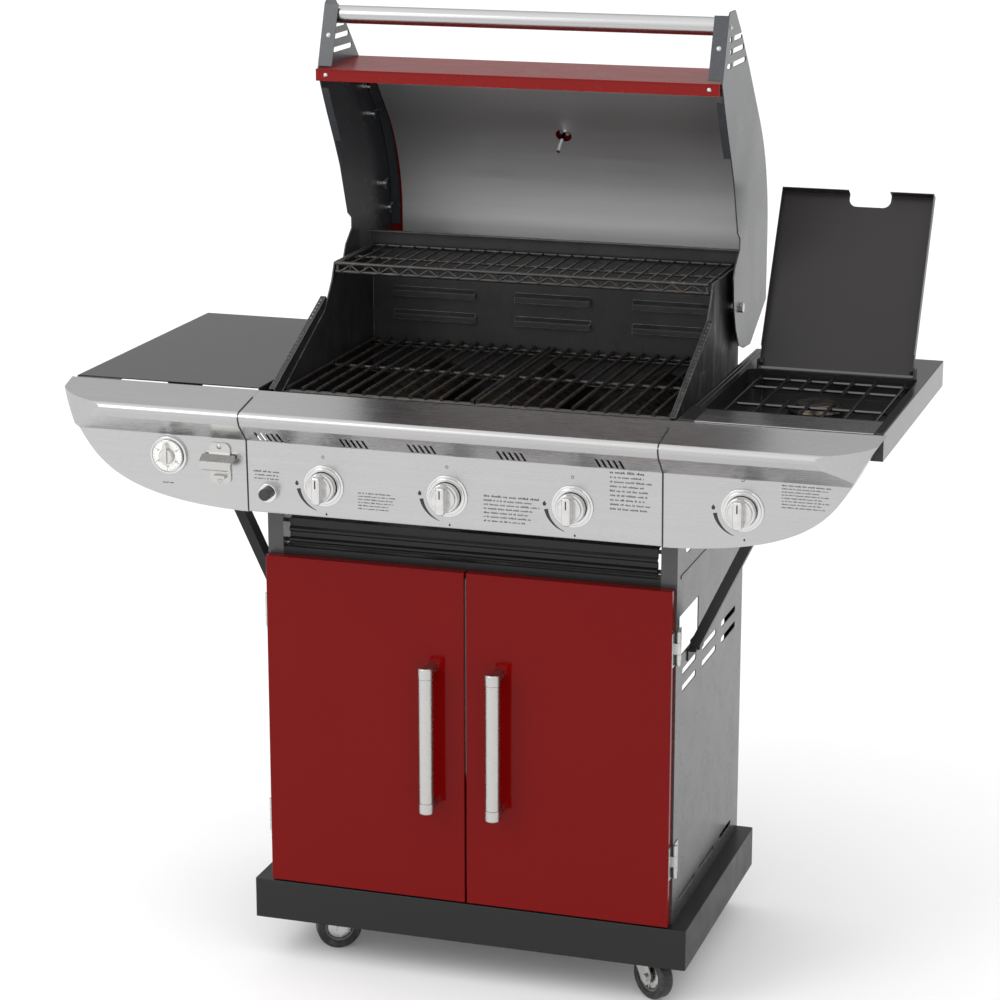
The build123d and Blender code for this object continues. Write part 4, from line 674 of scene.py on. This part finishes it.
def dial_marks(name, place, radius, count, numbers, sweep, body, number_size):
    """Ticks and generic numbers round a dial whose face is the placed plane."""
    ticks = bmesh.new()
    for index in range(count):
        angle = math.radians(90.0 - sweep * index / (count - 1 if sweep < 360.0 else count))
        major = index % 5 == 0
        inner = radius - (3.0 if major else 1.8)
        half = 0.35 if major else 0.2
        spoke = place @ Matrix.Rotation(angle, 4, "Z")
        add_prism(ticks, [(inner, -half), (radius, -half), (radius, half), (inner, half)], spoke, -0.05, 0.10)
    for index, text in enumerate(numbers):
        share = index / (len(numbers) - 1 if sweep < 360.0 else len(numbers))
        angle = math.radians(90.0 - sweep * share)
        spot = Vector((math.cos(angle), math.sin(angle), 0)) * (radius - 5.6) * MM
        digits = number_outline(text, number_size, place @ Matrix.Translation(spot), f"{name}_digit")
        joined = bpy.data.meshes.new("digits")
        digits.to_mesh(joined)
        digits.free()
        ticks.from_mesh(joined)
    piece_from(ticks, name, INK, body)


def timer_face():
    low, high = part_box("timer_dial")
    middle = (low + high) / 2
    disc_front = high.y - 3.7 * MM
    place = axes((middle.x, disc_front, middle.z), (1, 0, 0), (0, -1, 0))
    plate = bmesh.new()
    add_turned(plate, [(12.5, -0.3), (12.5, 0.1), (22.4, 0.1), (22.8, -0.3)], place, 64)
    piece_from(plate, "timer_face_plate", DIAL_WHITE, "timer")
    lifted = place @ Matrix.Translation((0, 0, 0.00012))
    dial_marks("timer_face_marks", lifted, 22.0, 30, ["0", "10", "20", "30", "40", "50"], 360.0, "timer", 4.6)


LID_ARC = Vector((0.0, 0.297 + DRAWING_Y, 1.082))      # centre of the lid's round back, lid open
LID_ARC_RADIUS = 0.274
LID_ARC_END = 42.2                                  # degrees, where the straight slope starts


def thermometer_face():
    """Printed dial and needle in the lid's thermometer."""
    middle = centre_of("thermometer")
    outward = Vector((0.0, math.cos(math.radians(34.3)), math.sin(math.radians(34.3))))
    seat = Vector((middle.x, LID_ARC.y, LID_ARC.z)) + outward * (LID_ARC_RADIUS + 0.0095)
    place = axes(seat, (-1, 0, 0), outward)
    plate = bmesh.new()
    add_turned(plate, [(3.7, 0.0), (3.7, 0.3), (29.2, 0.3), (29.2, 0.0)], place, 64)
    piece_from(plate, "thermometer_dial", DIAL_WHITE, "lid")
    lifted = place @ Matrix.Rotation(math.radians(135.0), 4, "Z") @ Matrix.Translation((0, 0, 0.00032))
    dial_marks("thermometer_marks", lifted, 27.0, 31, [], 270.0, "lid", 4.0)
    needle = bmesh.new()
    needle_place = place @ Matrix.Rotation(math.radians(118.0), 4, "Z")
    add_prism(needle, [(-6.0, -1.1), (23.0, -0.25), (23.0, 0.25), (-6.0, 1.1)], needle_place, 1.6, 1.9)
    piece_from(needle, "thermometer_needle", POINTER_RED, "lid")


# ---------------------------------------------------------------- wires, wing nuts, casters, shelf
def warming_rack_zigzag():
    """The zigzag wire between the warming rack's two front rails."""
    low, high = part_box("warming_rack")
    top, bottom = high.z - 5.0 * MM, low.z + 3.5 * MM
    front = low.y + 2.2 * MM
    mesh = bmesh.new()
    turns = 36
    points = []
    for index in range(turns + 1):
        x = low.x + 8.0 * MM + (high.x - low.x - 16.0 * MM) * index / turns
        points.append(Vector((x, front, top if index % 2 else bottom)))
    add_tube(mesh, points, 1.5 * MM)
    piece_from(mesh, "warming_rack_zigzag", MATERIALS["grate_enamel"], "cart")


def lid_flanges():
    """Inward flanges of the lid's end plates, laid over the skin along the round back and the slope."""
    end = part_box("lid_end_plates")[1].x - 2.6 * MM
    line = []
    for step in range(25):
        angle = math.radians(-4.0 + (LID_ARC_END + 4.0) * step / 24)
        line.append(LID_ARC.yz + Vector((math.cos(angle), math.sin(angle))) * (LID_ARC_RADIUS - 2.6 * MM))
    leave = math.radians(LID_ARC_END + 90.0)
    line.append(line[-1] + Vector((math.cos(leave), math.sin(leave))) * 0.108)
    mesh = bmesh.new()
    for side in (-1, 1):
        columns = []
        for y, z in line:
            inward = (LID_ARC.yz - Vector((y, z))).normalized() * 1.2 * MM
            columns.append([mesh.verts.new((side * (end - wide), y + rise * inward.x, z + rise * inward.y))
                            for wide, rise in ((0.0, 0), (15.0 * MM, 0), (15.0 * MM, 1), (0.0, 1))])
        for here, there in zip(columns, columns[1:]):
            for index in range(4):
                after = (index + 1) % 4
                mesh.faces.new((here[index], here[after], there[after], there[index]))
        mesh.faces.new(columns[0])
        mesh.faces.new(list(reversed(columns[-1])))
    piece_from(mesh, "lid_end_flanges", MATERIALS["hammertone"], "lid")


def wing_nuts():
    """Two ears on each nut inside the lid's end plates."""
    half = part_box("lid_end_plates")[1].x - 2.0 * MM
    mesh = bmesh.new()
    for side in (-1, 1):
        for y, z in ((449, 1302), (467, 1257), (516, 1138), (539, 1095)):
            place = axes((side * (half - 7.0 * MM), y * MM + DRAWING_Y, z * MM), (0, 0.6, 0.8), (-side, 0, 0))
            add_turned(mesh, [(2.5, -2.0), (4.4, -2.0), (3.8, 3.0), (2.5, 3.0)], place, 20)
            for way in (-1, 1):
                ear = [(way * 3.6, -1.2), (way * 6.0, -1.4), (way * 9.5, 1.2), (way * 10.2, 4.0),
                       (way * 8.2, 5.2), (way * 5.6, 3.2), (way * 3.6, 1.4)]
                upright = place @ Matrix.Rotation(math.radians(90.0), 4, "X")
                add_prism(mesh, ear, upright, -0.9, 0.9)
    piece_from(mesh, "lid_wing_nuts", MATERIALS["zinc"], "lid")


def caster_hub_caps():
    """Ribbed hub cap on both sides of each wheel."""
    for corner in ("fl", "fr", "rl", "rr"):
        joint = JOINTS[f"wheel_roll_{corner}"]
        centre, axle = Vector(joint["pos_m"]), Vector(joint["axis"])
        mesh = bmesh.new()
        for side in (-1, 1):
            place = axes(centre + axle * side * 5.2 * MM, (0, 0, 1), axle * side)
            add_turned(mesh, [(9.6, 0.0), (9.6, 3.6), (12.0, 3.0), (18.6, 1.6), (19.4, 0.0)], place, 40)
            for spoke in range(6):
                turn = place @ Matrix.Rotation(math.pi * spoke / 3, 4, "Z")
                rib = [(10.0, -1.0), (18.4, -0.8), (18.4, 0.8), (10.0, 1.0)]
                add_prism(mesh, rib, turn, 0.4, 4.0)
        piece_from(mesh, f"caster_hub_cap_{corner}", MATERIALS["zinc"], f"wheel_{corner}")


def shelf_beads():
    """Two pressed beads that run front to back beside the side burner's tray."""
    low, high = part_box("right_shelf")
    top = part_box("left_shelf")[1].z
    mesh = bmesh.new()
    for x in (0.3245, 0.3315):
        points = [Vector((x, low.y + 0.085, top - 0.0006)), Vector((x, high.y - 0.020, top - 0.0006))]
        add_tube(mesh, points, 1.9 * MM, 12)
    piece_from(mesh, "right_shelf_beads", MATERIALS["shelf_black"], "cart")


# ---------------------------------------------------------------- studio
def floor():
    mesh = bmesh.new()
    bmesh.ops.create_circle(mesh, cap_ends=True, radius=60.0, segments=96)
    data = bpy.data.meshes.new("studio_floor")
    mesh.to_mesh(data)
    mesh.free()
    ground = bpy.data.objects.new("studio_floor", data)
    bpy.context.scene.collection.objects.link(ground)
    finish = Finish("studio_floor", specular=0.2)
    grain = finish.noise(3.0, 2.0)
    tone = finish.mix(grain, (0.86, 0.86, 0.86), (0.88, 0.88, 0.88))
    finish.shader.inputs["Emission Color"].default_value = (1.0, 1.0, 1.0, 1.0)
    finish.shader.inputs["Emission Strength"].default_value = 0.06
    data.materials.append(finish.done(tone, 0.6))
    ground.location.z = -0.0005


def softbox(name, place, target, size, power):
    lamp = bpy.data.lights.new(name, "AREA")
    lamp.shape = "RECTANGLE"
    lamp.size, lamp.size_y = size
    lamp.energy = power
    holder = bpy.data.objects.new(name, lamp)
    holder.location = place
    holder.rotation_euler = (Vector(target) - Vector(place)).to_track_quat("-Z", "Y").to_euler()
    bpy.context.scene.collection.objects.link(holder)


def studio():
    world = bpy.data.worlds.new("studio")
    world.use_nodes = True
    tree = world.node_tree
    coords = tree.nodes.new("ShaderNodeTexCoord")
    toward = tree.nodes.new("ShaderNodeVectorMath")
    toward.operation = "DOT_PRODUCT"
    toward.inputs[1].default_value = Vector((-0.12, -0.50, 0.85)).normalized()
    ramp = tree.nodes.new("ShaderNodeMapRange")
    ramp.interpolation_type = "SMOOTHSTEP"
    ramp.inputs["From Min"].default_value = -0.5
    ramp.inputs["From Max"].default_value = 1.0
    ramp.inputs["To Min"].default_value = 0.40
    ramp.inputs["To Max"].default_value = 1.50
    tree.links.new(coords.outputs["Generated"], toward.inputs[0])
    tree.links.new(toward.outputs["Value"], ramp.inputs["Value"])
    tree.links.new(ramp.outputs["Result"], tree.nodes["Background"].inputs["Strength"])
    tree.nodes["Background"].inputs["Color"].default_value = (1.0, 1.0, 1.0, 1.0)
    bpy.context.scene.world = world
    softbox("key", (-2.6, -3.2, 3.4), (0.0, 0.0, 0.9), (1.8, 2.4), 50.0)
    bpy.context.scene.view_settings.view_transform = "Standard"


add_camera()
dress_cad_nodes()
panel_markings()
panel_seams()
knob_details()
timer_face()
thermometer_face()
warming_rack_zigzag()
lid_flanges()
wing_nuts()
caster_hub_caps()
shelf_beads()
floor()
studio()
